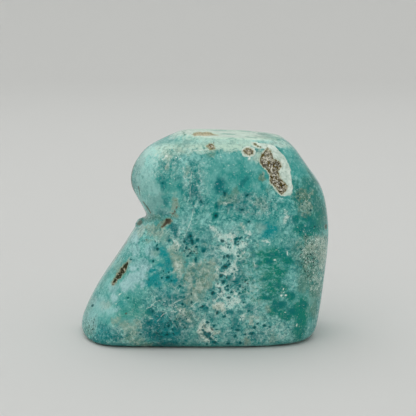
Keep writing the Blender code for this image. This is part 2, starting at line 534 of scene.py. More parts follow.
# %% Clouds of the front
CLOUDS = {
    "broad ground": ("sea teal", 0.85, [(205, 245, 150, 130)]),
    "middle ground": ("teal", 0.55, [(235, 175, 50, 34), (245, 205, 45, 22)]),
    # Partly painted light: the head's upper left is painted paler, partly for its own pale colour and
    # partly as a painted reflection of the bright surroundings on that side.
    "pale head": ("pale aqua", 0.8, [
        (149, 151, 14, 10, -35), (147, 166, 11, 13), (156, 150, 10, 9),
    ]),
    "white and painted sheen of the head": ("chalk", 0.9, [(149, 150, 11, 7, -35), (141, 163, 4, 8, 10)]),
    "soft head": ("grey aqua", 0.6, [(143, 180, 9, 14), (139, 165, 5, 16, 8), (152, 186, 8, 8)]),
    # Painted shade: a darker grey band along the head's left and lower edge, where its rim turns away
    # from the light.
    "painted shade on the head's rim": ("grey aqua", 0.65, [
        (137, 176, 3.5, 15, 4), (139, 192, 3.5, 9, -18), (150, 214, 7, 5, 40),
    ]),
    "low head": ("grey aqua", 0.55, [(152, 203, 9, 8, 20), (160, 197, 7, 9), (163, 211, 8, 5)]),
    # Partly painted light: the bevel under the top faces up, and its mint is laid on paler both for its
    # own colour and as a painted sheen of the overhead light.
    "mint and painted sheen of the bevel": ("mint", 0.9, [
        (190, 143, 26, 7), (226, 144, 26, 7.5, 3), (240, 146, 12, 5), (172, 141, 12, 6, -25),
        (176, 134, 6, 4, -35), (244, 142, 12, 4, 5), (163, 140, 8, 3, -20),
    ]),
    "grey of the bevel": ("grey green", 0.55, [
        (178, 145, 7, 2.5, 10), (182, 148, 6, 2), (170, 153, 3, 4),
    ]),
    "teal of the shoulder": ("teal", 0.75, [
        (176, 163, 9, 6), (179, 156, 7, 3, 15), (192, 157, 7, 6), (192, 166, 6, 5),
    ]),
    "pale shoulder": ("soft aqua", 0.8, [
        (184, 172, 5, 11, 8), (186, 184, 3, 9), (202, 187, 4, 6), (206, 217, 5, 7),
    ]),
    "tan shoulder": ("tan", 0.6, [
        (167, 158, 3, 5), (168, 167, 2.5, 4), (180, 151, 7, 2, 25), (187, 171, 3, 6),
    ]),
    "teal of the head": ("teal", 0.6, [(163, 180, 8, 11, 10), (166, 199, 4, 5), (168, 170, 6, 7)]),
    "deep head": ("deep teal", 0.5, [
        (161.5, 178, 3.4, 4), (163, 185, 3.6, 4.4), (177, 178, 3.8, 2.6), (166, 166, 3, 3),
        (166, 202, 4, 3.5, 20), (163, 213, 6, 3, 10),
    ]),
    "dark shoulder": ("teal", 0.8, [
        (193, 184, 4, 9), (196, 194, 4, 5), (187, 194, 3, 5), (196, 205, 5, 6), (180, 190, 4, 7),
        (199, 172, 3, 4), (200, 182, 2, 4), (196, 212, 5, 4),
    ]),
    "light of the face": ("soft aqua", 0.4, [
        (205, 178, 4, 10), (212, 176, 4, 4), (205, 163, 5, 5), (216, 172, 3, 4),
        (232, 185, 4, 4, 30), (210, 190, 5, 6), (256, 167, 4, 7), (226, 156, 12, 4),
    ]),
    "clear teal of the face": ("teal", 0.5, [
        (236, 165, 11, 8), (222, 164, 8, 5), (236, 174, 10, 6), (288, 152, 8, 7, 50),
        (298, 168, 7, 11, -20), (252, 188, 12, 8),
    ]),
    "deep pool of the face": ("deep teal", 0.7, [
        (221, 186, 5.5, 8), (224.5, 193, 3.2, 5, -10), (218, 181, 3, 4), (244.5, 180, 4, 3, -30),
        (242, 184, 2.2, 3), (247, 196, 4.5, 3.6), (240, 210, 5, 3, 10), (229, 204, 3, 4),
        (218.5, 206, 3, 3), (248, 222, 2.5, 1.8), (201, 200, 3.4, 5, -10), (207, 204, 2, 1.5),
        (236, 200, 3, 3), (244, 202, 3, 4),
    ]),
    "green pool of the face": ("green teal", 0.9, [(216.3, 215.8, 3.4, 4), (216.5, 207, 2.2, 2.2)]),
    "blue patch": ("pool blue", 0.95, [
        (268, 230, 10, 7.5), (274, 228, 6, 5.5), (262, 227, 5, 5), (264, 235, 7, 4),
    ]),
    "greyed middle": ("grey green", 0.7, [
        (230, 198, 9, 5, -10), (236, 192, 4, 5), (222, 203, 4, 2.5), (259, 201, 6, 5),
        (263, 206, 4, 5), (272, 190, 5, 8, 15),
    ]),
    "pale left middle": ("soft aqua", 0.7, [
        (205, 222, 6, 8), (188, 215, 6, 9), (180, 222, 6, 10), (228, 226, 10, 6),
    ]),
    "right shade": ("dark green", 0.6, [
        (297, 195, 5, 14, -5), (310, 190, 8, 14, -25), (318, 208, 6, 14, -12),
        (321, 214, 6, 13, -8), (313, 176, 3, 14, -28),
    ]),
    "olive of the right": ("olive", 0.95, [
        (299, 195, 3.2, 5), (304, 206, 5.2, 7), (305, 197, 4, 6), (309, 206, 3, 6),
        (307, 211, 4, 2.6, 20), (302, 190, 4, 3),
    ]),
    "tan of the right": ("tan", 0.65, [
        (309, 196, 1.8, 3.2, 10), (312, 192, 1.6, 3, 15), (303, 214, 2, 3.4),
    ]),
    "green of the right": ("green teal", 0.85, [
        (309, 218, 9, 5), (316, 226, 8, 7), (301, 228, 8, 5), (297, 218, 4, 4), (320, 215, 4, 6),
        (306, 234, 9, 4),
    ]),
    "pale right middle": ("soft aqua", 0.6, [
        (284, 215, 5, 6, 20), (291, 224, 3, 4), (283, 224, 3, 3), (252, 226, 5, 4),
        (288, 231, 4, 4), (258, 232, 5, 5), (250, 236, 6, 6),
    ]),
    "speckled strip": ("grey green", 0.8, [
        (312, 252, 13, 14), (310, 270, 12, 16), (320, 240, 8, 6), (300, 252, 8, 12),
        (316, 288, 7, 14, 8), (303, 284, 7, 9), (314, 310, 4, 9, 8),
    ]),
    "pale strip": ("pale grey", 0.85, [(320, 243, 7, 7), (314, 248, 6, 5), (324, 257, 6, 14, 4)]),
    "bright speckled strip": ("tan", 0.45, [
        (320, 252, 6, 5), (312, 248, 6, 5), (311, 276, 3.2, 5), (321, 258, 3, 8),
    ]),
    "olive strip": ("olive", 0.5, [
        (304, 254, 4, 6), (304, 264, 5, 4), (299, 244, 3, 4), (306, 240, 3, 4),
    ]),
    "green field": ("green teal", 0.95, [
        (276, 254, 12, 6.5), (270, 261, 8, 4.5), (286, 260, 7, 5), (274, 269, 5.5, 7),
        (267, 280, 6.5, 4, -10), (276, 283, 7, 7), (268, 297, 9, 4, -8), (277, 304, 9, 5),
        (294, 312, 7, 5), (286, 317, 7, 3), (260, 263, 5, 3, -10), (262, 255, 6, 4),
        (303, 304, 6, 8), (301, 318, 7, 12, 6), (272, 289, 7, 5), (281, 288, 5, 6),
        (280, 272, 7, 7), (272, 311, 7, 4), (272, 273, 7, 6), (298, 331, 6, 9), (290, 296, 6, 5),
        (297, 306, 5, 5), (281, 313, 6, 4),
    ]),
    "deepest green": ("deep teal", 0.5, [
        (270, 262, 3, 3), (283, 251, 5, 2.4), (276, 304, 5, 2.6), (306, 228, 6, 5),
    ]),
    "pale green field": ("soft aqua", 0.55, [
        (257, 286, 7, 3.4, -12), (256, 293, 8, 4, -5), (293, 277, 4, 8), (252, 298, 7, 5),
        (295, 287, 3, 5), (252, 265, 3, 4),
    ]),
    "mottled low right": ("soft aqua", 0.3, [
        (262, 322, 12, 6), (250, 318, 8, 4), (272, 332, 12, 8), (284, 333, 10, 7), (262, 338, 9, 6),
    ]),
    "tan low right": ("tan", 0.5, [
        (251, 317, 8, 3), (247, 342, 4, 4), (273, 337, 5, 6), (262, 318, 5, 3), (267, 309, 2.6, 4),
    ]),
    "teal low right": ("teal", 0.6, [
        (258, 325, 6, 3), (265, 328, 5, 3), (251, 308, 6, 4), (257, 342, 6, 4), (273, 325, 5, 3),
    ]),
    "teal between": ("blue grey", 0.6, [
        (206, 240, 8, 10), (211, 254, 9, 8), (216, 263, 5, 5), (208, 231, 6, 6),
    ]),
    "white web's ground": ("pale aqua", 0.55, [
        (225, 238, 7, 5), (229, 247, 9, 6), (236, 254, 4, 6), (233, 266, 2.6, 7, -10),
        (243, 246, 5, 4), (220, 231, 7, 4, 30),
    ]),
    "blue web's ground": ("soft aqua", 0.75, [
        (230, 300, 10, 6), (234, 306, 7, 5), (222, 286, 6, 5), (246, 284, 6, 4), (227, 293, 6, 4),
        (240, 300, 5, 6),
    ]),
    "tan cloud": ("tan", 0.8, [
        (178, 262, 7, 13, -8), (174, 250, 6, 8), (196, 275, 11, 12, 20), (208, 268, 9, 7, 10),
        (192, 292, 7, 9), (203, 284, 8, 6), (212, 277, 7, 4), (188, 300, 6, 7),
    ]),
    "olive cloud": ("olive", 0.8, [
        (205, 275, 5, 4), (200, 281, 5, 6), (198, 289, 6, 4), (192, 272, 4, 5), (187, 277, 3, 6),
    ]),
    "beige wisps": ("beige", 0.4, [
        (176, 268, 3.4, 6), (196, 249, 2.4, 6), (193, 262, 2, 5), (204, 245, 2.4, 2),
        (243, 227, 3, 2), (213, 262, 6, 4), (190, 287, 2.4, 6), (174.3, 194, 1.6, 3.6),
    ]),
    "lower tan": ("tan", 0.6, [
        (186, 314, 9, 6, 20), (193, 320, 7, 6), (180, 309, 6, 4, 10), (218, 307, 6, 5),
        (198, 296, 8, 7), (206, 333, 8, 8), (178, 320, 4, 6, -30),
    ]),
    "lower beige": ("beige", 0.95, [
        (201, 333, 3, 5, 10), (210, 330, 4.4, 3.4), (206, 338, 4.4, 2, 10), (218, 306, 5, 3.4),
        (223, 310, 2, 5), (204, 326, 3, 3), (245, 341, 3, 3.4), (251, 323, 2.6, 3.4),
        (217, 333, 3, 2),
    ]),
    "slate low": ("slate teal", 0.6, [
        (165, 300, 12, 6), (178, 285, 7, 8), (160, 293, 10, 5), (184, 326, 8, 11),
        (192, 341, 10, 4), (143, 335, 6, 4), (226, 334, 9, 6), (230, 342, 12, 4), (212, 315, 7, 3),
        (172, 316, 6, 4, 20),
    ]),
    "teal low": ("teal", 0.7, [
        (182, 292, 5, 5), (205, 306, 5, 3), (212, 291, 5, 3.4), (185, 305, 4, 3), (225, 317, 7, 3),
        (236, 325, 5.5, 6.5), (228, 313, 8, 3), (218, 342, 9, 4), (240, 282, 6, 8),
        (225, 282, 6, 6),
    ]),
    "dark lower left": ("deep teal", 0.95, [
        (153, 324, 7, 6), (165, 325, 7, 7), (158, 336, 11, 6), (150, 312, 5, 4.5, -30),
        (171, 336, 8, 5), (158, 316, 6, 5), (177, 330, 4, 6), (150, 336, 5, 4), (167, 343, 14, 3),
    ]),
    "ink lower left": ("ink teal", 0.5, [
        (158, 334, 6, 3.2), (166, 334.5, 5, 3), (163, 315, 2.4, 3.4), (150, 322, 2.5, 3),
        (175, 323, 2.5, 3),
    ]),
    "pale foot": ("ice", 0.75, [
        (131, 280, 11, 6, -35), (126, 286, 8, 6), (139, 276, 8, 5), (136, 237, 4.5, 8, 32),
        (142, 229, 3.6, 4), (146, 268, 7, 4, -30), (114, 297, 5, 5), (110, 310, 8, 4),
        (133, 268, 5, 3), (143, 284, 4, 4),
    ]),
    "soft foot": ("soft aqua", 0.65, [
        (104, 312, 12, 8), (94, 312, 6, 12, 15), (125, 247, 5, 9, 32), (146, 247, 6, 7),
        (104, 296, 8, 5, -30), (148, 236, 6, 5), (118, 258, 4, 10, 35), (108, 284, 4, 10, 35),
    ]),
    "teal foot": ("teal", 0.55, [
        (131, 260, 3.4, 2), (121, 303, 6, 4), (116, 289, 5, 2.6, -20), (107, 296, 3, 3),
        (145, 262, 6, 4), (118, 265, 3, 8, 35), (104, 320, 10, 4),
    ]),
    "foot's green": ("sea green", 0.6, [
        (127, 298, 3, 2.6), (136, 304, 6, 7), (133, 313, 9, 6), (146, 314, 6, 5), (124, 314, 8, 5),
    ]),
    "foot's left edge": ("grey aqua", 0.6, [
        (85, 322, 3.5, 12, 8), (92, 328, 5, 8), (92, 304, 4, 8, 25),
    ]),
    "foot's blue": ("deep teal", 0.6, [
        (102, 327, 5, 3), (105, 331, 6, 5), (100, 336, 6, 3), (107, 338, 7, 3.4), (115, 331, 3, 3),
        (118, 338, 5, 3.4), (106, 326, 3, 3), (98, 342, 10, 3, 10), (118, 345, 12, 2.6),
    ]),
    "tan foot": ("tan", 0.6, [
        (115, 321, 5, 4), (124, 326, 6, 5), (131, 330, 6, 6), (137, 324, 5, 5), (117, 323, 2.4, 2),
    ]),
    "olive foot": ("olive", 0.55, [
        (139, 342, 7, 4), (131, 338, 6, 5), (146, 344, 6, 3), (136, 333, 4, 5),
    ]),
    "halo of the trail": ("tan", 0.9, [
        (175, 205, 3.6, 7, 12), (175, 215, 4, 4), (161, 224, 6, 2, -20),
    ]),
    "pale below the druse": ("soft aqua", 0.7, [
        (272, 194, 3.4, 5, -20), (280, 199, 5, 2.6, 20), (267, 184, 3, 5, -15),
    ]),
    "pale grey under the head": ("pale grey", 0.75, [
        (157, 232, 8, 4), (151, 228, 6, 3), (141, 231, 4, 6, 30),
    ]),
    "tan under the head": ("tan", 0.45, [
        (157, 233, 10, 4), (160, 240, 8, 4, 20), (150, 229, 7, 3.4), (166, 236, 4, 5),
        (155, 226, 8, 2.6), (148, 241, 4, 2.4),
    ]),
    "pale under the head": ("pale aqua", 0.4, [
        (148, 222, 5, 5), (168, 246, 5, 3, 30), (159, 258, 3, 3),
    ]),
    # Partly painted shade: the groove under the head is painted greyer and darker.
    "grey under the head": ("grey green", 0.6, [
        (149, 219, 5, 4), (157, 217, 6, 3, 10), (160, 228, 5, 2),
    ]),
    "tan of the slot": ("tan", 0.7, [
        (114, 282.5, 3, 4, 30), (121, 270, 3, 6, 35), (129, 262, 2, 3, 20),
    ]),
    "shade of the middle": ("slate teal", 0.32, [
        (188, 300, 20, 26), (243, 274, 11, 20), (262, 336, 24, 8), (313, 328, 7, 12),
        (176, 226, 8, 11), (248, 201, 15, 7), (145, 324, 8, 9), (196, 276, 12, 10),
        (184, 186, 5, 7), (206, 336, 8, 7), (292, 248, 8, 10), (280, 200, 6, 4), (186, 318, 8, 14),
        (232, 230, 6, 5), (264, 206, 7, 5), (178, 246, 5, 8), (200, 283, 10, 8), (283, 334, 8, 6),
        (248, 257, 5, 5), (256, 312, 6, 4), (304, 208, 5, 7), (216, 288, 5, 4), (202, 184, 4, 7),
        (176, 289, 5, 4), (184, 313, 6, 5), (184, 222, 4, 6), (192, 277, 6, 6), (312, 328, 5, 6),
    ]),
    "deeps of the middle": ("deep teal", 0.5, [
        (241, 204, 6, 6), (240, 272, 6, 6), (176, 281, 5, 4), (172, 300, 12, 8), (184, 322, 6, 7),
        (184, 337, 7, 6), (144, 328, 5, 9), (256, 337, 6, 4), (232, 281, 6, 5), (184, 296, 6, 5),
        (175, 232, 4, 5), (248, 288, 5, 3), (236, 327, 5, 5), (304, 304, 5, 5), (232, 313, 6, 4),
        (162, 344, 9, 3), (222, 292, 3, 3),
    ]),
    "blue pools": ("pool blue", 0.9, [
        (168, 279, 5.5, 4.5), (175, 281, 3, 3.6), (163, 254, 5.5, 4.2, 20), (168, 261, 4, 5.6),
        (161, 250, 4, 2.6, 20), (154, 270, 5, 3.4), (152, 280, 5, 5), (158, 284, 6, 5, 10),
        (157, 276, 5, 4), (169, 269, 3.6, 4), (147, 284, 2.6, 5), (161, 266, 4, 3),
    ]),
    "blue by the notch": ("deep teal", 0.75, [
        (174, 229, 3.6, 5.4, -15), (176, 236, 3, 3), (170, 226, 3, 3.4), (169, 240, 1.6, 4),
    ]),
    "deep middle left": ("deep teal", 0.7, [
        (191, 238, 3.4, 6, -10), (188, 243, 4, 4), (198, 240, 2.4, 2.4), (190, 254, 4, 3),
        (196, 261, 2, 3.4, -20), (204, 250, 2.6, 2), (187, 249, 2, 3), (197, 247, 2, 3),
    ]),
    "deep low": ("deep teal", 0.8, [
        (156, 325, 9, 6), (166, 334, 9, 5), (218, 185, 4, 6), (193, 191, 4, 8),
    ]),
    # Painted shade: a thin dark strip along the bottom edge, where the base curves under.
    "painted shade along the base": ("ink teal", 0.4, [(161, 345, 22, 2.6), (196, 348, 20, 2), (112, 347, 20, 1.6)]),
    "stain of the top edge": ("olive", 0.5, [
        (213, 152, 4.5, 3.4), (214, 142.4, 1.2, 1.2), (211, 156, 4, 3),
    ]),
    "olive eye": ("olive", 0.85, [(262, 177, 3.4, 5, -10), (263, 179, 4, 3)]),
    "edge of the foot": ("olive", 0.45, [(118, 246, 2.2, 26, 33), (96, 285, 2, 14, 33)]),
    # Partly painted light: a milky painted sheen on the bevel and the head's top corner, over their own
    # pale colour.
    "milky bevel and painted sheen": ("mint", 0.62, [
        (166, 147, 13, 7, -20), (182, 152, 11, 4.5), (176, 138, 7, 5, -30), (203, 151, 10, 3),
        (281, 144, 11, 3.6, 14), (168, 159, 4, 5),
    ]),
    # Partly painted light: the white at the left end, on the head's top corner, is a painted highlight.
    "white ends and painted highlight of the bevel": ("chalk", 1.0, [
        (161, 143, 9, 5, -30), (276, 144, 12, 3.6, 12), (170, 140, 6, 4, -35),
    ]),
    "greenish halo of the druse": ("pale grey", 0.75, [(257, 156, 5, 8, -10), (252, 160, 3, 3)]),
    # Partly painted light: the last ellipses, at the head's top corner, are a painted highlight.
    "milky head and painted highlight": ("pale aqua", 0.42, [
        (146, 178, 9, 13), (142, 196, 6, 9, -15), (153, 190, 7, 7), (184, 160, 8, 5),
        (194, 158, 8, 4), (158, 146, 10, 6, -35), (158, 146, 9, 5, -35), (161, 144, 7, 4, -30),
    ]),
    "milky upper face": ("soft aqua", 0.42, [
        (216, 168, 6, 6), (226, 160, 12, 4.5), (204, 160, 7, 6), (250, 163, 5, 7), (256, 186, 5, 5),
        (201, 217, 5, 4), (250, 225, 4, 5), (249, 249, 6, 5), (256, 257, 5, 3), (176, 194, 4, 5),
        (288, 152, 5, 6), (232, 169, 7, 5), (224, 177, 4, 4),
    ]),
    "milk beside the pools": ("ice", 0.5, [
        (150, 251, 6, 8), (153, 257, 4, 3), (143, 264, 7, 5), (135, 250, 5, 6), (113, 288, 5, 4),
    ]),
    "milk of the right": ("pale grey", 0.55, [
        (321, 249, 8, 10), (273, 144, 6, 3, 10), (106, 305, 6, 4),
    ]),
    "ice of the foot": ("ice", 0.3, [(100, 304, 8, 8, 20), (92, 318, 6, 8), (134, 262, 5, 7, 30)]),
    "pool under the blue": ("pool blue", 0.5, [
        (106, 333, 11, 7), (163, 254, 5, 5), (166, 292, 8, 4), (160, 318, 9, 6), (170, 333, 9, 5),
    ]),
    "purer teal": ("teal", 0.38, [
        (235, 237, 7, 7), (219, 244, 6, 6), (252, 266, 7, 12), (244, 204, 7, 6), (180, 292, 6, 6),
        (197, 277, 6, 8), (260, 292, 7, 6), (180, 252, 6, 6), (284, 252, 6, 6), (300, 248, 5, 12),
        (181, 172, 6, 6), (187, 187, 6, 7), (284, 341, 8, 5),
    ]),
    "shade of the low part": ("slate teal", 0.55, [
        (188, 316, 7, 6), (305, 213, 6, 7), (317, 333, 6, 6), (292, 220, 5, 5), (116, 333, 6, 6),
    ]),
    "olive shades": ("olive", 0.4, [(306, 212, 7, 7), (203, 284, 7, 7), (188, 316, 6, 5)]),
    "mint glints": ("mint", 0.55, [(164, 148, 8, 6, -30), (260, 156, 5, 5)]),
    "thin haze": ("pale grey", 0.4, [
        (324, 252, 5, 7), (118, 265, 3, 8, 35), (248, 332, 4, 4), (260, 228, 6, 5),
        (188, 252, 5, 5), (156, 252, 5, 5),
    ]),
    "milk above the base": ("soft aqua", 0.3, [
        (104, 319, 5, 3.4), (262, 346, 24, 2), (128, 344, 6, 3),
    ]),
}
CLOUD_CORE = 0.62
CLOUD_EDGE = 1.32
TEAR = {
    "broad": (2.6 * MM, 0.60 * MM),
    "middle": (1.2 * MM, 0.45 * MM),
    "fine": (0.6 * MM, 0.22 * MM),
}
MARK_SHRED = 0.34
TOP_SHRED = 0.9
print("clouds:", len(CLOUDS), "of", sum(len(marks) for _, _, marks in CLOUDS.values()), "ellipses")

# %% [markdown]
# ## Where the finer patterns lie
# The material draws the fine patterns itself, from noise that runs through the stone: thin white
# lace, a bold white web, specks, rising streaks and dark dots.  Each needs to know where it is
# strong, so each gets its own soft ellipses.  In the calm zones the mottling is weaker.

# %% Zones of the finer patterns
ZONES = {
    "lace": [
        (215, 300, 62, 44), (165, 325, 34, 20), (232, 250, 26, 24), (180, 240, 18, 16),
        (165, 165, 16, 14), (270, 330, 30, 14), (120, 335, 22, 10), (250, 205, 26, 12),
        (195, 185, 12, 24),
    ],
    "web": [
        (228, 248, 7, 7), (230, 299, 10, 7), (220, 307, 7, 5), (207, 332, 8, 9), (178, 267, 4, 7),
        (182, 311, 5, 2, 20), (233, 270, 5, 6),
    ],
    "specks": [(313, 252, 14, 15), (316, 280, 10, 16), (318, 240, 9, 5), (307, 198, 4, 7, 10)],
    "streaks": [(262, 270, 22, 22), (265, 292, 20, 14), (250, 258, 14, 8)],
    "dots": [
        (165, 328, 16, 14), (180, 322, 10, 10), (228, 282, 12, 10), (208, 333, 9, 9),
        (92, 328, 6, 14), (245, 285, 8, 8), (190, 250, 8, 14), (310, 258, 12, 22), (237, 240, 8, 6),
    ],
    "calm": [
        (160, 185, 24, 30), (162, 258, 12, 12), (155, 282, 10, 8), (235, 175, 40, 26),
        (215, 144, 48, 6, 2), (190, 280, 24, 26, 20), (268, 265, 14, 22), (288, 155, 9, 12, 20),
        (300, 172, 8, 14, -20), (148, 156, 12, 14), (306, 305, 9, 24), (268, 228, 11, 7),
        (240, 165, 14, 8), (156, 206, 10, 8), (128, 316, 20, 14), (104, 312, 18, 14),
        (126, 284, 20, 26, 30),
    ],
}
print("zones:", {name: len(marks) for name, marks in ZONES.items()})

# %% [markdown]
# ## Crisp spots and lines
# Dark cells sit in the white web like seeds, larger teal ones shine between its strands, and
# brown lines mark old cracks.  These need sharp edges, finer than the skin's net.  The trick is
# to keep how deep a place lies in the mark, which changes smoothly, and to let the material cut
# it off at zero.

# %% Dark cells, strands of the web, brown marks, white flecks with painted glints, and veins with a painted highlight
DARK_CELLS = [
    (222.3, 241.2, 2.2, 1.5, 20), (236.5, 239.3, 2.2, 1.6, -25), (240.3, 238.3, 2.4, 1.5, -20),
    (235.2, 243, 1.4, 1.7), (238.3, 244.6, 1.5, 1.1), (231.5, 239.3, 0.8, 0.9),
    (231.3, 243.7, 0.8, 0.7), (228.8, 244.6, 1.1, 0.9), (227.8, 247.3, 1.3, 0.8),
    (231.2, 247.4, 1, 1.1), (226, 244, 0.6, 1.2), (237, 253.3, 1.1, 0.9),
    (238.3, 256.4, 1.7, 1.2, -20), (241.6, 250.6, 0.9, 0.7), (242.5, 253.2, 0.8, 0.7),
    (224, 257.3, 1.6, 2.2), (227.8, 256.6, 2.2, 2, 20), (228, 261, 1.5, 1),
    (225.3, 266.5, 4.3, 2.7, -28), (229, 264.2, 1.6, 1.4), (221, 275.5, 2.2, 2.2),
    (223.6, 281.6, 2.3, 2.1), (231.3, 274, 1.3, 0.9), (204, 251.2, 2.2, 1.9), (218, 245.3, 1.3, 1),
    (234.6, 281.4, 2.2, 1.5), (239.6, 285.6, 1.4, 1.1), (228, 286.4, 1.5, 1.2),
    (225.2, 287.4, 1.1, 0.9), (228, 290.4, 2, 1.7, 20), (225.6, 290, 1.1, 0.8),
    (231.9, 292.5, 1.3, 1), (238.4, 289, 1.4, 1), (239.6, 292.6, 1.3, 1.3), (245.2, 289.2, 1.3, 1),
    (213, 292.7, 2, 2.4, -20), (219.6, 288, 1.4, 0.7), (228.6, 297.6, 2.6, 1.3),
    (234, 263, 0.7, 0.9), (234, 269.4, 1, 1.2), (217.4, 312.2, 1.6, 2.3), (215.3, 309.6, 1.1, 0.9),
    (224.3, 317.2, 2.5, 1.2, -25), (207.4, 322.3, 1.9, 1.7), (213.9, 325.3, 1.5, 1.6),
    (205.6, 325.3, 1, 0.7), (203, 327.4, 1.1, 0.9), (202.8, 330.3, 1.7, 1.2, 30),
    (204.9, 332.8, 1.8, 1.9, 40), (207.2, 335.8, 3, 2, 35), (209.4, 333.6, 2.4, 1.5, 30),
    (210.4, 338.4, 2, 2, -20), (212.7, 332.9, 0.9, 0.8), (214.2, 342.4, 2.4, 1.8),
    (206.4, 344, 1.5, 1), (217, 329.5, 1.9, 0.9), (216, 337.8, 1.2, 0.7), (200.6, 334.4, 0.8, 0.7),
    (237.4, 329.8, 2.6, 1.7, 15), (232.3, 328, 1.2, 1.3), (238.6, 325.4, 1.6, 1.1, -20),
    (234.6, 335.8, 1.7, 1.9, 30), (245.2, 334.3, 1.7, 1.1), (252, 333.4, 3.3, 1.8, -10),
    (254.4, 327.6, 2.2, 1.5), (243.6, 302.4, 1.5, 1.2), (248.6, 311, 2, 1.1),
    (208.2, 299.2, 1.1, 1.2), (206.5, 308.2, 1.5, 1.1), (202.6, 306.6, 3.4, 1.5, -30),
    (199.4, 307.6, 1.1, 1.1), (240.4, 343, 1.6, 1.5), (228, 343.6, 2.4, 1), (192, 302.4, 1.3, 1.8),
    (192.4, 241.4, 2.3, 4.3, -12), (190.6, 236.4, 1.8, 2.2), (197.6, 239.2, 2, 1.7),
    (184.6, 241.6, 1.6, 2.2), (196.8, 246.6, 1.5, 1.4), (187.8, 256.2, 1.7, 1.5),
    (190.6, 253.4, 1.9, 1.4, -20), (195.6, 259.8, 1.8, 2.8), (186, 248, 1.3, 1.8, 30),
    (176, 250.4, 1.1, 1.1), (158, 249.2, 2.2, 1.8, 20), (157, 245.6, 1.3, 1.5),
    (153, 261.4, 1.4, 1.8), (163.4, 270.8, 1.2, 1.2), (167.6, 277.4, 2.3, 2.2),
    (162, 278.2, 1.3, 1.3), (171.5, 280.6, 1.2, 1.5), (168.6, 272.4, 1, 0.8),
    (180.4, 286, 1.5, 1.3), (181, 297.6, 2.4, 1, 10), (184.4, 297, 1.4, 0.9),
    (191.4, 294.4, 0.8, 1.3), (169, 240.8, 1.1, 2.3), (154.8, 241.6, 0.8, 1.4),
    (257.6, 323.8, 1.8, 1.3), (264.4, 325.6, 2.2, 1.6), (269.4, 327, 1.8, 1.2),
    (216.3, 216, 2.5, 3), (201.4, 201, 1.3, 2.6, -10), (224.4, 193.6, 1.7, 3, -10),
    (131, 260, 1.6, 1), (173, 342.4, 0.8, 0.7), (176.4, 343, 1, 0.8), (183.6, 343.6, 1.5, 1),
    (166.8, 334.6, 3, 1.7), (168.6, 326, 1.5, 2.2, 20), (174.6, 321.4, 1.6, 1.4),
    (172.8, 329.4, 1.8, 1.4), (177, 326.4, 1, 1.6), (162.8, 315, 1.3, 2.4), (153, 311, 1.6, 1.9),
    (140.6, 334.6, 1.4, 1.4), (148.6, 322.4, 1.7, 1.4), (150.4, 330, 1.6, 1.2),
    (182.6, 304, 1.6, 1.6), (186, 306, 1.2, 1.3), (182, 310.6, 1.2, 0.9, 20), (128, 298, 1.4, 1.2),
    (92.6, 305.4, 1.4, 1.4), (162.6, 183.2, 1.5, 1), (247, 195.6, 2.4, 1.2, -30),
    (242.4, 210, 2, 1.4), (217, 206.4, 1.4, 1.2), (230.4, 197.8, 1.2, 1), (232, 202, 0.9, 0.8),
    (248.6, 222, 1.8, 1), (314.8, 226, 1.2, 1), (300, 231, 1.8, 1), (298.2, 194, 1.4, 1),
    (298, 197.6, 1.2, 1), (310.6, 210.4, 1.6, 1.5), (302.6, 204.6, 1.4, 1.2),
    (262.3, 174.3, 0.8, 0.9),
]
TEAL_CELLS = [
    (231, 257.6, 1.8, 2.6), (229, 278.5, 1.8, 2.4), (216.6, 261.6, 2, 2.6),
    (208.5, 264.4, 3, 1.4, 10), (203, 241, 2.4, 2), (211.6, 236.6, 1.8, 1.2),
    (237, 279.6, 2.2, 2.2), (210.5, 289.4, 3.2, 1.5, -20), (232.8, 233, 1.3, 1.6),
    (249.6, 237, 2.2, 1.8), (251.6, 249.6, 2.2, 1.8), (254, 255, 3, 2.6), (240.6, 262.4, 3.2, 2.4),
    (244, 261, 1.8, 1.8), (258, 262, 3, 2.2), (257, 267, 2.8, 2), (253, 278, 2.4, 1.4, -30),
    (235, 321, 4.4, 4), (231, 311.4, 3.6, 2.4), (240, 312, 3, 2), (213, 319.4, 2.4, 2.6),
    (214, 297, 2.6, 3.4), (250, 308, 5, 3), (191, 290, 1.6, 3), (193.6, 277.6, 1.6, 2.2),
    (194.6, 281.4, 2, 1.6), (194, 270, 2.6, 1.8), (183, 292.6, 2.4, 1.8), (155.8, 284.4, 2, 1.6),
    (148.4, 279.4, 1.6, 1.4), (155, 248, 2.4, 3, 30), (205, 309.4, 3.6, 3), (193, 319, 1.8, 1.8),
    (195.6, 312.6, 1.6, 2.4), (216, 280, 2.2, 1.6), (241, 297, 3, 2), (270, 262, 4.6, 3),
    (277, 285, 3.4, 2.6), (268, 297, 5, 2, -8), (292, 311, 6, 3.6), (282, 304, 6, 2.6),
    (273, 255, 6, 2.4), (264, 280, 3.6, 1.8, -10), (311, 222, 4.6, 3.2),
]
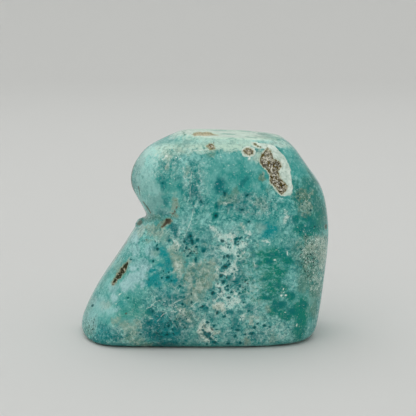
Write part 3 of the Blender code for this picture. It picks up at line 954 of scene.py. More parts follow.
WEB_STRANDS = [
    ([(211, 227), (216, 231), (220, 235), (224, 237), (229, 236), (234, 236)], 2.8),
    ([(222, 238), (225, 243), (227, 249), (232, 251.5), (237, 250), (241, 247), (246, 244)], 2.4),
    ([(229, 237), (233, 242), (233.4, 249)], 1.8), ([(219, 247), (223, 246.6), (227, 251)], 2.2),
    ([(236, 251), (239.6, 257), (244, 252)], 1.7),
    ([(235, 252), (234, 257), (237, 260), (233, 264.6), (231.4, 269)], 2),
    ([(231.4, 269), (228, 275), (222, 272.4), (217, 268)], 1.6),
    ([(237, 262), (235.6, 267), (232.6, 272), (234, 278)], 1.2),
    ([(217, 284), (222, 287), (223, 292), (219, 297), (214, 301)], 1.7),
    ([(243, 227), (248, 232), (246, 238)], 1.6),
    ([(220, 295), (226, 301), (233, 303), (238, 300)], 3),
    ([(235, 292), (238, 297), (236, 303), (229, 307)], 1.8),
    ([(214, 305), (220, 304), (225, 308), (224, 314)], 2),
    ([(204, 319), (203, 324), (200, 329), (200, 336), (205, 339.6), (209, 341)], 1.8),
    ([(206, 328), (211, 330), (215, 333)], 2.2), ([(212, 335), (215, 340)], 1.2),
    ([(244, 314), (241, 320)], 1.6), ([(154, 241), (160, 244)], 1.2),
    ([(176, 264), (178, 271)], 2.2), ([(174, 240), (178, 245)], 1.4),
    ([(190, 262), (193, 265)], 1.6), ([(286, 211), (288, 217), (285, 222)], 1.5),
    ([(172, 303), (178, 308), (184, 315), (190, 321)], 0.8), ([(222, 203), (227, 202)], 1),
    ([(183, 170), (185, 178)], 1.2), ([(252, 262), (255, 267)], 1.2),
    ([(262, 240), (270, 243)], 1.4),
]
BROWN_SPOTS = [
    (168, 220.8, 2.6, 2), (163, 226.6, 3.4, 1, -8), (176.6, 207.6, 1.3, 2, 10),
    (175, 211.6, 1.8, 1.3, -40), (173, 214.2, 1.7, 1.2, -40), (177.4, 203.6, 0.8, 1.6, 10),
    (171.4, 216.6, 1, 0.8), (126, 313.4, 1.6, 1.3), (146.4, 239.6, 2.6, 0.9, 10),
    (143, 242, 1.2, 0.6, -20), (139.6, 222.4, 5, 3.4, -40), (134, 228.6, 3.4, 1.2, -45),
    (214, 142.4, 0.9, 1), (169, 137, 2.2, 0.8, -30), (278, 134.6, 2.4, 0.7, 10),
    (326, 226.5, 1.6, 3.6), (263, 174.4, 0.7, 0.9), (113.4, 283.6, 1.6, 2.2, 35),
    (129.6, 236.4, 1, 2, 33),
]
BROWN_LINES = [
    ([(136.5, 160), (133.2, 168), (131.2, 176), (131.8, 184), (134.5, 192), (137.2, 199)], 0.9),
    ([(138, 186), (139.4, 191), (140.4, 196)], 0.5),
    ([(143, 201.6), (146, 205), (148.4, 209), (151, 213)], 0.8),
    ([(132, 232), (124, 244), (114, 258), (104, 273), (95, 288)], 0.5),
    ([(214, 128.4), (222, 128.7), (232, 128.6)], 0.4),
]
# White flecks, and painted glints: the small lamp reflections on the head's top corner and on the rims
# of tiny pits are laid on here as white spots.
WHITE_FLECKS_AND_GLINTS = [
    (180.4, 158.8, 2.6, 0.8, -30), (176, 157.4, 1.6, 0.6, -20), (275.5, 259.5, 1.9, 1.1),
    (287.4, 253.5, 0.9, 3.2, -8), (281.6, 295.8, 1.4, 1.3), (285.8, 295.4, 1.6, 1.4),
    (283.2, 289, 0.9, 1.3), (163.4, 158.6, 2.2, 0.9, -20), (166.6, 156.4, 1.6, 1.6),
    (178.6, 152.6, 2.8, 0.6, 15), (284.6, 312, 1.4, 0.6), (267.4, 265.4, 0.7, 1.2),
    (119.8, 294.4, 3, 0.7, -30), (108, 300, 0.9, 0.7), (115.8, 304, 1, 0.8),
    (170.4, 184.2, 1.3, 0.6), (243.4, 214, 1.6, 0.6, -10), (223.6, 282, 0.4, 0.6),
    (296.6, 325, 0.9, 2, 20),
]
VEINS_AND_BEVEL_HIGHLIGHT = [
    ([
        (192.3, 171), (190.8, 180), (190.1, 190), (190.7, 200), (192.3, 207), (192.8, 213),
        (191.6, 219), (189, 227), (184.6, 238),
    ], 0.55),
    ([(193, 172), (197, 183), (200.4, 194), (201, 200)], 0.4),
    # Painted highlight: the last line is no vein but the thin reflection of the light along the top
    # bevel.
    ([(190, 151.2), (196, 150.6), (202, 149.9), (209, 149.3)], 0.6),
]
FOOT_VEINS = [
    [(150, 303), (155, 307), (160, 309), (166, 313), (170, 318), (173, 323), (177, 328)],
    [(146, 309), (151, 307), (155, 302), (160, 300), (166, 302)],
    [(171, 305), (174, 311), (177, 317), (180, 323), (181, 328)],
    [(163, 303), (168, 306), (174, 303), (180, 300), (186, 300)],
    [(166, 309), (172, 312), (178, 311), (185, 309), (192, 306), (199, 300)],
    [(147, 319), (153, 318), (158, 321), (161, 316), (166, 313)],
    [(176, 309), (182, 313), (188, 318), (193, 326)], [(189, 309), (194, 316), (198, 321)],
]
FOOT_VEIN_WIDTH = 0.62
CHALK = [
    (250.4, 142.2), (256, 141.6), (262, 142.8), (270, 144), (275, 146), (280, 151), (285, 156),
    (288, 161), (290.5, 168), (292, 178), (293, 188), (291.4, 195.4), (286, 196.4), (281, 196.6),
    (277.4, 193.4), (274, 189), (271.6, 186.4), (269.4, 184), (268.9, 179), (268.6, 175),
    (265.6, 170.6), (261.6, 167.8), (259.8, 164.6), (258.8, 160.6), (259.2, 156.4), (261.4, 152.2),
    (263.8, 149.2), (258, 149), (252.6, 146.4),
]
VUG_WHITE = [(248.6, 151.6, 7.4, 6)]
WISPS = [(249.6, 158, 1.5, 3, 10), (256, 143.5, 4.5, 2, 15)]
print("cells:", len(DARK_CELLS), "dark,", len(TEAL_CELLS), "teal; strands:", len(WEB_STRANDS))

# %% [markdown]
# ## The flat across the top
# The top flat shows only as a thin strip in the photograph, banded along its length in white,
# mint and green.  Its marks are long and very thin in the picture, so that on the stone, seen
# from above, they come out as broad bands.

# %% Bands and spots of the top flat
TOP_BANDS = {
    "mint ground": ("mint", 1.0, [(230, 134, 62, 10, 4)]),
    "white": ("chalk", 0.95, [
        (189, 132.5, 3.4, 2.6), (177, 135, 8, 3, -30), (205, 131, 16, 0.6),
        (236, 136.6, 14, 0.7, 5), (212, 136.4, 14, 0.5), (256, 133, 7, 1.6, 8),
        (226, 132.4, 14, 0.5, 3), (262, 140.2, 14, 0.7, 5), (276, 141.4, 11, 0.6, 3),
        (240, 134.4, 9, 0.5, 6),
    ]),
    "green": ("sea green", 0.6, [
        (266, 134.6, 8, 1.5, 10), (272, 137, 10, 1, 8), (228, 134, 9, 0.6, 3),
        (218, 130.4, 12, 0.6, 2), (246, 131.4, 9, 0.5, 5), (280, 139.6, 7, 0.5, 5),
        (251, 137.2, 6, 0.5, 5), (232, 138.4, 5, 0.5),
    ]),
    "dark nick": ("dark green", 0.7, [(184.2, 134.6, 2, 1.2), (183.4, 132.4, 1.2, 1.4)]),
    "grey": ("grey green", 0.5, [
        (278, 134.6, 3, 1.4, 10), (263, 137, 9, 1.2, 8), (262, 134, 8, 1, 8),
        (252, 137.4, 6, 0.6, 4), (275, 139.2, 8, 0.5, 5),
    ]),
}
print("bands of the top:", ", ".join(TOP_BANDS))

# %% [markdown]
# ## Laying the marks on the skin
# For every point of the skin the script works out where the photograph shows it, tears that
# place a little, and asks each mark how deep it lies inside.  The back is seen from a second
# viewpoint, with the same clouds turned upside down, and the ends get colours that change softly
# from place to place.

# %% How marks are torn and laid
# How level a place is where the marks of the top begin and have taken over, and how squarely it
# faces the viewpoint where the marks of a side do.
TOP_FACING = (0.80, 0.93)
SIDE_FADE = (0.06, 0.22)
# The back takes the clouds upside down: so many pixels, less how far down a place lies.
BACK_TURN = 478.0
# Paints that the material breaks up into patches are laid on more thinly here.
LAID_EVENLY = {"tan": 0.80, "beige": 0.60, "olive": 0.75, "chalk": 0.35}
END_PAINTS = [
    ("teal", 11, 0.8), ("soft aqua", 8, 0.9), ("green teal", 9, 0.7), ("tan", 6, 0.5),
    ("deep teal", 4.5, 0.7), ("pale aqua", 4, 0.6), ("blue grey", 5, 0.5),
]
END_COVER = (0.05, 0.45)
STRAND_EDGE = (1.5, 0.3)
STRAND_SHRED = 1.2


def torn(places, normals):
    """The places pushed about along the skin, so that marks get ragged edges."""
    push = np.zeros_like(places)
    for order, (size, strength) in enumerate(TEAR.values()):
        push += wander(places, size, 40 + order) * strength
    inward = (push * normals).sum(axis=1, keepdims=True)
    return places + push - normals * inward


def coat(tint, paint_name, cover):
    """Lay a paint over the tint, by how strongly it covers each point."""
    tint += (PAINTS[paint_name] - tint) * cover[:, None]


def cloud_cover(across, down, shred, marks):
    """How strongly soft ellipses cover the places, from 0 to 1."""
    return ease(CLOUD_EDGE, CLOUD_CORE, nearest_reach(across, down, marks) + shred)


def patch_cover(across, down, shred, names):
    """How strongly the clouds in any of the named paints cover the places."""
    cover = np.zeros(len(across))
    for paint_name, strength, marks in CLOUDS.values():
        if paint_name in names:
            cover = np.maximum(cover, strength * cloud_cover(across, down, shred, marks))
    return cover


def strand_cover(across, down, shred, strands):
    """How strongly strands, each with half its width in pixels, cover the places."""
    cover = np.zeros(len(across))
    for points, half_width in strands:
        near = near_marks(across, down, points)
        gap = line_gap(across[near], down[near], points) / half_width
        here = ease(*STRAND_EDGE, gap + shred[near] * STRAND_SHRED)
        cover[near] = np.maximum(cover[near], here)
    return cover


def lay_clouds(tint, seen, shred, clouds, share):
    """Paint clouds over the tint, each by its own strength and the places' share."""
    for paint_name, strength, marks in clouds.values():
        strength = strength * LAID_EVENLY.get(paint_name, 1)
        coat(tint, paint_name, cloud_cover(*seen, shred, marks) * strength * share)


def deepest(across, down, marks):
    """How deep places lie in the nearest of the ellipses: 1 in its middle, less than 0 outside."""
    return np.maximum(1 - nearest_reach(across, down, marks), -1)


def line_depth(across, down, lines):
    """How deep places lie in lines, each with half its width in pixels."""
    depth = np.full(len(across), -1.0)
    for points, half_width in lines:
        depth = np.maximum(depth, 1 - line_gap(across, down, points) / half_width)
    return depth


# %% Lay the colours on every point
moved = torn(flat_places, normals)
seen = photo.pixels(moved)
back_across, back_down = behind.pixels(moved)
seen_behind = (back_across, BACK_TURN - back_down)
facing = photo.facing(flat_places, normals)
top_share = ease(*TOP_FACING, normals[:, 2])
front_share = np.maximum(ease(*SIDE_FADE, facing), top_share)
back_share = ease(*SIDE_FADE, behind.facing(flat_places, normals)) * (1 - top_share)
shred = MARK_SHRED * speckle(flat_places, 0.8 * MM, 61)

tint = np.tile(PAINTS["sea teal"], (len(places), 1))
for order, (paint_name, size, strength) in enumerate(END_PAINTS):
    coat(tint, paint_name, strength * ease(*END_COVER, speckle(flat_places, size * MM, 51 + order)))
lay_clouds(tint, seen_behind, shred, CLOUDS, back_share)
lay_clouds(tint, seen, shred, CLOUDS, front_share * (1 - top_share))
lay_clouds(tint, seen, shred * TOP_SHRED, TOP_BANDS, top_share)
print("colours laid on", len(places), "points;", round(float((front_share > 0.5).mean()), 2), "in front")

# %% [markdown]
# ## How strong each pattern is
# The zones above are turned into one number for each point.  The clouds of four groups of paints
# are kept as numbers too: where they lie, the material breaks the colour up into sharp patches.
# On the ends, which the photograph doesn't show, soft random patches take the zones' place.

# %% Work out the strength of every pattern
PATCH_PAINTS = {
    "deep": ("deep teal", "ink teal", "dark green", "green teal"),
    "pale": ("pale aqua", "soft aqua", "ice", "chalk"),
    "tan": ("tan", "beige", "olive"),
    "blue": ("pool blue",),
}
END_PATTERNS = (0.15, 0.5)
WEB_OFF_STRANDS = 0.45


def all_round(cover, marks, on_ends):
    """The strength of a pattern: as its marks cover the front and the back, and as given on the ends."""
    in_front = cover(*seen, shred, marks) * front_share * (1 - top_share)
    at_back = cover(*seen_behind, shred, marks) * back_share
    return in_front + at_back + on_ends * (1 - front_share) * (1 - back_share)


fields = {}
for name, marks in ZONES.items():
    on_ends = 0.7 * ease(*END_PATTERNS, speckle(flat_places, 7 * MM, 70 + len(fields)))
    fields[name] = all_round(cloud_cover, marks, on_ends)
for name, names in PATCH_PAINTS.items():
    on_ends = 0.5 * ease(*END_COVER, speckle(flat_places, 4 * MM, 80 + len(fields)))
    fields[name] = all_round(patch_cover, names, on_ends)
strand = all_round(strand_cover, WEB_STRANDS, 0)
fields["web"] = np.maximum(fields["web"] * WEB_OFF_STRANDS, strand)
fields["calm"] = np.maximum(fields["calm"], top_share)
print("mean strengths:", {name: round(float(part.mean()), 2) for name, part in fields.items()})

# %% Work out how deep every point lies in the crisp marks
# Crisp marks are torn less than clouds, and a mark that is hidden counts as far outside.
SHARP_SHARE = 0.35
HIDDEN = -2
STAIN_THINS = (0.30, 0.06)
STAIN_LOSS = 0.6
CRUST_FACING = -0.1
CRUST_DEPTH = 0.1
CHALK_SLOPE = 0.4
VUG_SLOPE = 3
SPOT_SLOPE = 2

sharp = photo.pixels(flat_places + (moved - flat_places) * SHARP_SHARE)
gone = np.where(front_share > 0.5, 0, HIDDEN)
gone_behind = np.where(back_share > 0.5, 0, HIDDEN)
for name, marks in (("cells", DARK_CELLS), ("teal_cells", TEAL_CELLS)):
    fields[name] = np.maximum(deepest(*sharp, marks) + gone, deepest(*seen_behind, marks) + gone_behind)
stained = np.maximum(deepest(*sharp, BROWN_SPOTS), line_depth(*sharp, BROWN_LINES))
stained += np.where(facing > STAIN_THINS[1], -STAIN_LOSS * ease(*STAIN_THINS, facing), HIDDEN)
crusted = deepest(*sharp, CRUSTS) + np.where(facing > CRUST_FACING, CRUST_DEPTH, HIDDEN)
fields["brown"] = np.maximum(stained, crusted)
# White flecks and wisps, with the painted glints among them.
fields["white"] = deepest(*sharp, WHITE_FLECKS_AND_GLINTS + WISPS) + gone
# Veins, with the painted highlight along the top bevel.
fields["vein_and_highlight"] = line_depth(*sharp, VEINS_AND_BEVEL_HIGHLIGHT + [(points, FOOT_VEIN_WIDTH) for points in FOOT_VEINS]) + gone
chalk_depth = outline_depth(*sharp, CHALK) * CHALK_SLOPE
chalk_depth = np.maximum(chalk_depth, deepest(*sharp, VUG_WHITE) * VUG_SLOPE)
fields["chalk"] = np.clip(chalk_depth, -1, 1) + gone
for name in ("cells", "brown", "white", "vein_and_highlight", "chalk"):
    print("points in", name, "marks:", int((fields[name] > 0).sum()))

# %% Paint the floors of the pockets and keep how deep and how brown they are
RIM_FADE = (2.2, 0.9)
RIM_REACH = -3
FLOOR_EDGE = (-0.6, 0.2)
DUSTY_CRUMBS = (0.15, 0.65)

pocket_depth = deepest(*sharp, SMALL_SPOTS) * SPOT_SLOPE + gone
rim_depth = np.where(pocket_depth > -1, 1.0, 0.0)
dusty = ease(*DUSTY_CRUMBS, crumbs)
for name, pocket in POCKETS.items():
    depth = depths[name]
    pocket_depth = np.maximum(pocket_depth, depth)
    rim_depth = np.maximum(rim_depth, pocket.rim * ease(*RIM_FADE, depth) * (depth > RIM_REACH))
    floor = PAINTS[pocket.floor] + (PAINTS[pocket.dust] - PAINTS[pocket.floor]) * dusty[:, None]
    tint += (floor - tint) * ease(*FLOOR_EDGE, depth)[:, None]
coat(tint, "dark brown", hole_share)
fields["pocket"] = np.clip(pocket_depth, -2, 2)
fields["rim"] = rim_depth * (1 - hole_share)
print("points in pockets:", int((pocket_depth > 0).sum()))

# %% [markdown]
# ## The finished skin piece
# The mesh becomes an object, and the numbers worked out above are stored on it as attributes: one
# colour and a handful of plain values that the material reads by name.

# %% Store the marks on the skin
def store(data, name, values):
    """Keep one number for each point of the mesh, under a name."""
    attribute = data.attributes.new(name, "FLOAT", "POINT")
    attribute.data.foreach_set("value", np.asarray(values, dtype=np.float32))


stone = new_piece("polished_skin", skin)
coloured = stone.data.attributes.new("tint", "FLOAT_COLOR", "POINT")
rgba = np.ones((len(tint), 4), dtype=np.float32)
rgba[:, :3] = tint
coloured.data.foreach_set("color", rgba.ravel())
for name, values in fields.items():
    store(stone.data, name, values)
triangles = sum(len(face.vertices) - 2 for face in stone.data.polygons)
print("skin piece:", triangles, "triangles; attributes:", ["tint"] + list(fields))

# %% [markdown]
# ## Writing a material as sums
# A node tree is hard to read as code when each Math node takes five lines.  A small class wraps
# a socket, and Python's own signs add the nodes: `1 - mask * 0.5` becomes two Math nodes.
# Every other node comes from one method, which takes the node's type, its settings and what its
# sockets hold.

# %% A wrapper that turns arithmetic into nodes
class Term:
    """One socket of a material, on which arithmetic adds Math nodes."""

    def __init__(self, sheet, socket):
        self.sheet = sheet
        self.socket = socket

    def maths(self, operation, *values, clamp=False):
        settings = {"operation": operation, "use_clamp": clamp}
        return self.sheet.node("ShaderNodeMath", settings, dict(enumerate(values)))

    def __add__(self, other):
        return self.maths("ADD", self, other)

    def __radd__(self, other):
        return self.maths("ADD", other, self)

    def __sub__(self, other):
        return self.maths("SUBTRACT", self, other)

    def __rsub__(self, other):
        return self.maths("SUBTRACT", other, self)

    def __mul__(self, other):
        return self.maths("MULTIPLY", self, other)

    def __rmul__(self, other):
        return self.maths("MULTIPLY", other, self)

    def __neg__(self):
        return self.maths("MULTIPLY", self, -1)

    def above(self, low, high):
        """0 below low, 1 above high, with a smooth rise between."""
        settings = {"interpolation_type": "SMOOTHSTEP", "clamp": True}
        return self.sheet.node("ShaderNodeMapRange", settings, {0: self, 1: low, 2: high})

    def larger(self, other):
        return self.maths("MAXIMUM", self, other)

    def clamped(self):
        return self.maths("ADD", self, 0, clamp=True)

    def away(self):
        return self.maths("ABSOLUTE", self)


NOISE_SPREAD = 8


class Sheet:
    """A material's node tree, with the coat of colour laid so far."""

    def __init__(self, name):
        self.material = bpy.data.materials.new(name)
        self.material.use_nodes = True
        self.tree = self.material.node_tree
        self.shader = self.tree.nodes["Principled BSDF"]
        self.coat = None

    def node(self, kind, settings, sockets, output=0):
        """Add a node, set it up, fill its sockets and hand back one of its outputs."""
        node = self.tree.nodes.new(kind)
        for name, value in settings.items():
            setattr(node, name, value)
        for name, value in sockets.items():
            self.fill(node.inputs[name], value)
        return Term(self, node.outputs[output])

    def fill(self, socket, value):
        """Link a term to a socket, or set it to a paint by its name or to a plain value."""
        if isinstance(value, Term):
            self.tree.links.new(value.socket, socket)
        elif isinstance(value, str):
            socket.default_value = (*PAINTS[value], 1.0)
        else:
            socket.default_value = value

    def drive(self, name, value):
        """Fill one of the shader's own sockets."""
        self.fill(self.shader.inputs[name], value)

    def attribute(self, name, output="Fac"):
        return self.node("ShaderNodeAttribute", {"attribute_name": name}, {}, output)

    def vectors(self, operation, first, second):
        """Arithmetic on two vectors."""
        return self.node("ShaderNodeVectorMath", {"operation": operation}, {0: first, 1: second})

    def millimetres(self, *pushes):
        """Places in the stone in millimetres, pushed about if pushes are given."""
        place = self.node("ShaderNodeTexCoord", {}, {}, "Object")
        place = self.vectors("MULTIPLY", place, (1 / MM, 1 / MM, 1 / MM))
        for push in pushes:
            place = self.vectors("ADD", place, push)
        return place

    def push(self, place, size, strength):
        """A random push, as a vector in millimetres, that changes over size."""
        sockets = {"Vector": place, "Scale": 1 / size, "Detail": 2.0}
        cloud = self.node("ShaderNodeTexNoise", {}, sockets, "Color")
        centred = self.vectors("SUBTRACT", cloud, (0.5, 0.5, 0.5))
        return self.vectors("MULTIPLY", centred, (strength, strength, strength))

    def noise(self, place, size, detail, roughness=0.55):
        """Soft noise about 0, mostly between -1 and 1, whose lumps are size millimetres wide."""
        sockets = {"Vector": place, "Scale": 1 / size, "Detail": detail, "Roughness": roughness}
        return self.node("ShaderNodeTexNoise", {}, sockets) * NOISE_SPREAD - NOISE_SPREAD / 2

    def cell_edge(self, place, size):
        """The distance to the edge in a net of cells."""
        sockets = {"Vector": place, "Scale": 1 / size}
        return self.node("ShaderNodeTexVoronoi", {"feature": "DISTANCE_TO_EDGE"}, sockets, "Distance")

    def mix(self, under, over, share):
        """One colour laid over another by a share from 0 to 1."""
        return self.node("ShaderNodeMix", {"data_type": "RGBA"}, {0: share, 6: under, 7: over}, 2)

    def lay(self, over, share):
        """Lay a colour over the coat."""
        self.coat = self.mix(self.coat, over, share)


# %% [markdown]
# ## The polished stone
# Three things make the stone: the laid-on tint, the mottling of its grain, and the crisp marks.
# The mottling shifts the tint to a paler and milkier or to a deeper and richer colour, because
# that is how aragonite's packed fibres change, rather than to plain grey.  The numbers are given
# one by one: `above` says where a pattern starts and where it is full, and the last factor in a
# line says how strongly it covers.

# %% Mottling of the grain
sheet = Sheet("polished_aragonite")
base = sheet.attribute("tint", "Color")
lace, web, specks, streaks, dots, calm, deep, pale, tan, blue = (
    sheet.attribute(name) for name in (*ZONES, *PATCH_PAINTS)
)
place = sheet.millimetres()
bent = sheet.millimetres(sheet.push(place, 2.6, 3.0), sheet.push(place, 0.8, 0.7))
broad = sheet.noise(bent, 4.2, 3.0, 0.55)
lumps = sheet.noise(bent, 1.9, 5.0, 0.62)
fine = sheet.noise(bent, 0.75, 4.0, 0.65)
tiny = sheet.noise(place, 0.26, 2.0, 0.6)
mottle = broad * 0.18 + lumps * 0.44 + fine * 0.52 + tiny * 0.44
grain = 1 - calm * 0.6 + lace * 0.3
light_part = mottle.above(0.10, 0.90) * grain * (1 - deep * 0.80) * (1 - blue * 0.80)
dark_part = (-mottle).above(0.0, 0.75) * grain * (1 - pale * 0.35) * (1 - tan * 0.45)
sheet.coat = base
sheet.lay(sheet.mix(base, "ice", 0.52), light_part * 0.60)
sheet.lay(sheet.mix(base, "deep teal", 0.80), dark_part * 0.90)
print("nodes for the mottling:", len(sheet.tree.nodes))

# %% Sharp-edged patches: pale, tan and deep
patches = sheet.noise(sheet.millimetres(sheet.push(place, 1.4, 1.8)), 1.15, 5.0, 0.72)
pale_patch = (pale * 0.45 - deep * 0.6 - patches).above(0.58, 0.86)
sheet.lay(sheet.mix(base, "pale aqua", 0.75), pale_patch * grain * 0.60)
tan_patch = (tan + fine * 0.60 + lumps * 0.45).above(0.35, 1.25) * tan.above(0.0, 0.15)
tan_colour = sheet.mix("pale grey", "olive", (0.40 + fine * 0.6 - lumps * 0.5).clamped())
sheet.lay(tan_colour, tan_patch * 0.60)
deep_patch = (deep * 0.62 + patches).above(0.60, 0.84)
sheet.lay(sheet.mix(base, "deep teal", 0.75), deep_patch * grain * 0.72)

# %% Rising streaks of the green field, and the white web
slanted = sheet.node(
    "ShaderNodeMapping",
    {"vector_type": "POINT"},
    {"Vector": bent, "Rotation": (0, math.radians(-14), 0), "Scale": (0.24, 1, 1)},
)
streak = sheet.noise(slanted, 0.60, 4.0, 0.60)
sheet.lay("soft aqua", streak.above(0.15, 0.8) * streaks * (1 - deep * 0.3) * 0.62)
sheet.lay("green teal", (-streak).above(-0.1, 0.5) * streaks * 0.70)

web_place = sheet.millimetres(sheet.push(place, 0.9, 1.2))
threads = (0.04 + lumps * 0.06 - sheet.cell_edge(web_place, 1.5)).above(-0.03, 0.03)
small_threads = (0.02 + lumps * 0.05 - sheet.cell_edge(web_place, 0.7)).above(-0.03, 0.03)
filaments = 1 - sheet.noise(web_place, 1.1, 4.0, 0.65).away().above(0.03, 0.17)
lacework = threads.larger(small_threads * 0.8).larger(filaments * 0.8)
veil = (web + fine * 0.50 + tiny * 0.34).above(0.60, 0.98)
lace_here = lace * 0.36 * (1 - deep * 0.85) + web * 0.60
whiteness = (lacework * lace_here).larger(veil * (0.50 + lacework * 0.36)) * (1 - blue * 0.7)
sheet.lay(sheet.mix("chalk", base, 0.14), whiteness)
print("nodes with the web:", len(sheet.tree.nodes))

# %% Pale specks and dark dots
grit = sheet.noise(bent, 0.60, 4.0, 0.75) + tiny * 0.75 + lumps * 0.45
gritty = specks * (0.80 + lumps * 0.5).clamped()
sheet.lay("chalk", grit.above(0.15, 1.2) * gritty * 0.70)
sheet.lay("dark green", (-grit).above(0.15, 1.2) * gritty * 0.72)
seed_edge = sheet.cell_edge(sheet.millimetres(sheet.push(place, 0.5, 0.7)), 1.0)
dots_here = (dots * 0.5 + patches).above(0.55, 0.70) * dots
sheet.lay("ink teal", (seed_edge + fine * 0.06).above(0.14, 0.22) * dots_here * 0.75)

# %% Crisp marks, cut off where their depth is about zero
ragged = fine * 0.16 + lumps * 0.16
torn_edge = fine * 0.20 + tiny * 0.10
teal_cells = (sheet.attribute("teal_cells") + torn_edge * 1.3).above(-0.25, 0.45)
sheet.lay(sheet.mix(base, "deep teal", 0.85), teal_cells * 0.72)
cell_depth = sheet.attribute("cells") + torn_edge
cells = cell_depth.above(-0.12, 0.14)
sheet.lay(sheet.mix("deep teal", "ink teal", cell_depth.above(0.1, 0.9)), cells * 0.92)
# White veins, and the painted highlight along the top bevel.
sheet.lay("chalk", (sheet.attribute("vein_and_highlight") + ragged * 0.7).above(0.0, 0.7) * 0.5)
# White flecks and painted glints.
sheet.lay("chalk", (sheet.attribute("white") + ragged).above(0.0, 0.5) * 0.85)
chalk_colour = sheet.mix("chalk", "pale grey", (lumps * 0.30 + fine * 0.25 + 0.38).clamped())
sheet.lay(chalk_colour, (sheet.attribute("chalk") + ragged * 0.8).above(-0.02, 0.34) * 0.93)
brown = (sheet.attribute("brown") + ragged).above(0.0, 0.55)
sheet.lay(sheet.mix("brown", "dark brown", (0.20 + fine * 0.5).clamped()), brown * 0.80)

# %% Brown rims and dusty floors of the pockets, gloss and fine bumps
REFRACTION = 1.5
MIRROR_LEVEL = 0.10

pocket = sheet.attribute("pocket")
inside = (pocket + ragged).above(-0.15, 0.35)
floor_colour = sheet.mix(base, "brown", (fine * 0.5 - 0.10).clamped())
floor_colour = sheet.mix(floor_colour, "dark brown", (tiny * 0.6 - 0.20).clamped() * 0.8)
rim_colour = sheet.mix("pocket brown", "dark brown", (0.10 + fine * 0.5).clamped())
rim = (sheet.attribute("rim") + lumps * 0.2).clamped()
sheet.lay("olive tan", (pocket + ragged).above(-1.9, -0.1) * 0.34)
sheet.lay(sheet.mix(floor_colour, rim_colour, rim * 0.85), inside)
sheet.drive("Base Color", sheet.coat)
dull = inside.larger(brown * 0.5)
sheet.drive("Roughness", 0.17 + 0.55 * dull + 0.05 * lumps * grain)
sheet.drive("IOR", REFRACTION)
sheet.drive("Specular IOR Level", MIRROR_LEVEL)
bump_height = inside * fine * 0.10 + fine * 0.006 + cells * -0.04
bump_sockets = {"Strength": 0.5, "Distance": MM, "Height": bump_height}
sheet.drive("Normal", sheet.node("ShaderNodeBump", {}, bump_sockets, "Normal"))
stone.data.materials.append(sheet.material)
print("nodes of the stone's material:", len(sheet.tree.nodes))

# %% [markdown]
# ## Crystals of the druse
# The big pocket is lined with tiny crystals that stand every way, greyish pink in the middle and
# stained brown at the rim.  Each is a six-sided spike with a blunt tip, made by `create_cone`.
# There are hundreds, so each has few faces, and all of them are one mesh.

# %% Grow crystals on the floors of the pockets
CRYSTAL_SIDES = 6
CRYSTAL_STOUTNESS = (0.20, 0.42)
CRYSTAL_LENGTH = (0.40, 0.85)
CRYSTAL_TILT = 0.70
CRYSTALS = {"druse": 300, "vug": 16, "top_edge_spot": 20}
BLUNTNESS = 0.45
RIM_CLEARANCE = 0.4
CLUMP = 40

tree = BVHTree.FromObject(stone, bpy.context.evaluated_depsgraph_get())
chance = random.Random(7)


def random_spots(outline, number):
    """Random places inside an outline, with how many pixels inside it each one lies."""
    spots = []
    (left, right), (top, bottom) = ((min(axis), max(axis)) for axis in zip(*outline))
    while len(spots) < number:
        across = np.array([chance.uniform(left, right) for _ in range(number)])
        down = np.array([chance.uniform(top, bottom) for _ in range(number)])
        depth = outline_depth(across, down, outline)
        clear = (depth > RIM_CLEARANCE) & (nearest_reach(across, down, HOLES) > 1)
        spots += list(zip(across[clear], down[clear], depth[clear]))
    return spots[:number]


def grow(clump, place, axis):
    """Add one crystal to a clump, standing on a place along an axis."""
    radius = chance.uniform(*CRYSTAL_STOUTNESS) * MM
    length = chance.uniform(*CRYSTAL_LENGTH) * MM
    stand = Matrix.Translation(place) @ axis.to_track_quat("Z", "Y").to_matrix().to_4x4()
    bmesh.ops.create_cone(
        clump,
        cap_ends=True,
        segments=CRYSTAL_SIDES,
        radius1=radius,
        radius2=radius * BLUNTNESS,
        depth=length,
        matrix=stand @ Matrix.Translation((0, 0, length * 0.2)),
    )


crystals = bmesh.new()
tones = []
stains = []
for name, number in CRYSTALS.items():
    spots = random_spots(POCKETS[name].outline, number)
    for first in range(0, number, CLUMP):
        clump = bmesh.new()
        for spot_across, spot_down, depth in spots[first:first + CLUMP]:
            hit, normal, _, _ = tree.ray_cast(photo.eye, photo.ray(spot_across, spot_down))
            lean = Vector([chance.uniform(-1, 1) for _ in range(3)]) * CRYSTAL_TILT
            before = len(clump.verts)
            grow(clump, hit, (normal + lean).normalized())
            grown = len(clump.verts) - before
            tones += [chance.random()] * grown
            brown_share = max(0.0, 1.20 - depth * 0.50) * POCKETS[name].rim
            stains += [min(1.0, brown_share + chance.uniform(-0.2, 0.2))] * grown
        clump_data = bpy.data.meshes.new("clump")
        clump.to_mesh(clump_data)
        clump.free()
        crystals.from_mesh(clump_data)
druse = new_piece("druse_crystals", crystals)
druse.data.set_sharp_from_angle(angle=math.radians(30))
store(druse.data, "tone", tones)
store(druse.data, "stain", stains)
print("crystals:", len(druse.data.vertices), "points,", len(druse.data.polygons), "faces")

# %% Material of the crystals
crystal = Sheet("druse_crystal")
tone = crystal.attribute("tone")
stain = crystal.attribute("stain")
grey = crystal.mix("pocket grey", "brown", tone.above(0.30, 1.0))
stained = crystal.mix("olive tan", "brown", tone)
dust = crystal.noise(crystal.millimetres(), 0.3, 2.0)
crystal.drive("Base Color", crystal.mix(grey, stained, (stain + dust * 0.15).clamped()))
crystal.drive("Roughness", 0.30 + 0.15 * stain)
druse.data.materials.append(crystal.material)
print("nodes of the crystals' material:", len(crystal.tree.nodes))

# %% [markdown]
# ## Floor and wall
# The stone stands on plain pale paper that curves up into a wall all the way round, so every
# side can be looked at.  The paper is one profile, spun round the upright axis.

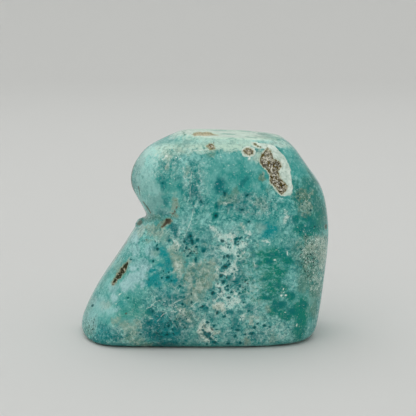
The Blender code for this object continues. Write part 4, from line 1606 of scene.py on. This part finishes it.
# %% Spin the paper cove
FLOOR = 1.6
CURVE = 0.6
WALL = 1.1
CURVE_STEPS = 16
profile = [(0.001, 0.0), (FLOOR - CURVE, 0.0)]
for step in range(1, CURVE_STEPS + 1):
    turn = math.radians(90 * step / CURVE_STEPS)
    profile.append((FLOOR - CURVE + CURVE * math.sin(turn), CURVE - CURVE * math.cos(turn)))
profile.append((FLOOR, WALL))
cove = bmesh.new()
corners = [cove.verts.new((radius, 0, height)) for radius, height in profile]
edges = [cove.edges.new(pair) for pair in zip(corners, corners[1:])]
bmesh.ops.spin(
    cove,
    geom=corners + edges,
    cent=(0, 0, 0),
    axis=(0, 0, 1),
    angle=math.radians(360),
    steps=96,
    use_merge=True,
)
bmesh.ops.remove_doubles(cove, verts=cove.verts, dist=0.002)
bmesh.ops.recalc_face_normals(cove, faces=cove.faces)
paper_floor = new_piece("paper_cove", cove)
paper = Sheet("pale_paper")
paper.drive("Base Color", (0.70, 0.705, 0.69, 1))
paper.drive("Roughness", 0.9)
paper_floor.data.materials.append(paper.material)
print("paper cove:", len(paper_floor.data.polygons), "faces")

# %% [markdown]
# ## Light
# The photograph has the even light of a tent: pale light from every side, a little more from
# above and from the left.  The world gives the even part, and two large soft lamps the rest.

# %% World and lamps
WORLD_STRENGTH = 0.74


def soft_light(name, location, size, watts, aim=(0, 0, 0.035)):
    """A square lamp at a place, turned to shine at a point."""
    data = bpy.data.lights.new(name, "AREA")
    data.size = size
    data.energy = watts
    lamp = bpy.data.objects.new(name, data)
    bpy.context.scene.collection.objects.link(lamp)
    lamp.location = location
    lamp.rotation_euler = (Vector(aim) - Vector(location)).to_track_quat("-Z", "Y").to_euler()
    return lamp


world = bpy.data.worlds.new("tent")
world.use_nodes = True
world.node_tree.nodes["Background"].inputs["Color"].default_value = (1.0, 1.0, 0.995, 1)
world.node_tree.nodes["Background"].inputs["Strength"].default_value = WORLD_STRENGTH
bpy.context.scene.world = world
soft_light("ceiling", (-0.06, 0.30, 1.25), 1.4, 3.5)
soft_light("window", (-0.36, -0.88, 1.02), 1.0, 1.9)
print("lamps:", [light.name for light in bpy.data.lights])
bpy.context.scene.view_settings.view_transform = "Standard"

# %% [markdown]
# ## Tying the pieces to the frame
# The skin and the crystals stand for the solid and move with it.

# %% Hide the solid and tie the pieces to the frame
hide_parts("aragonite")
for piece in (stone, druse):
    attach(piece, "root")
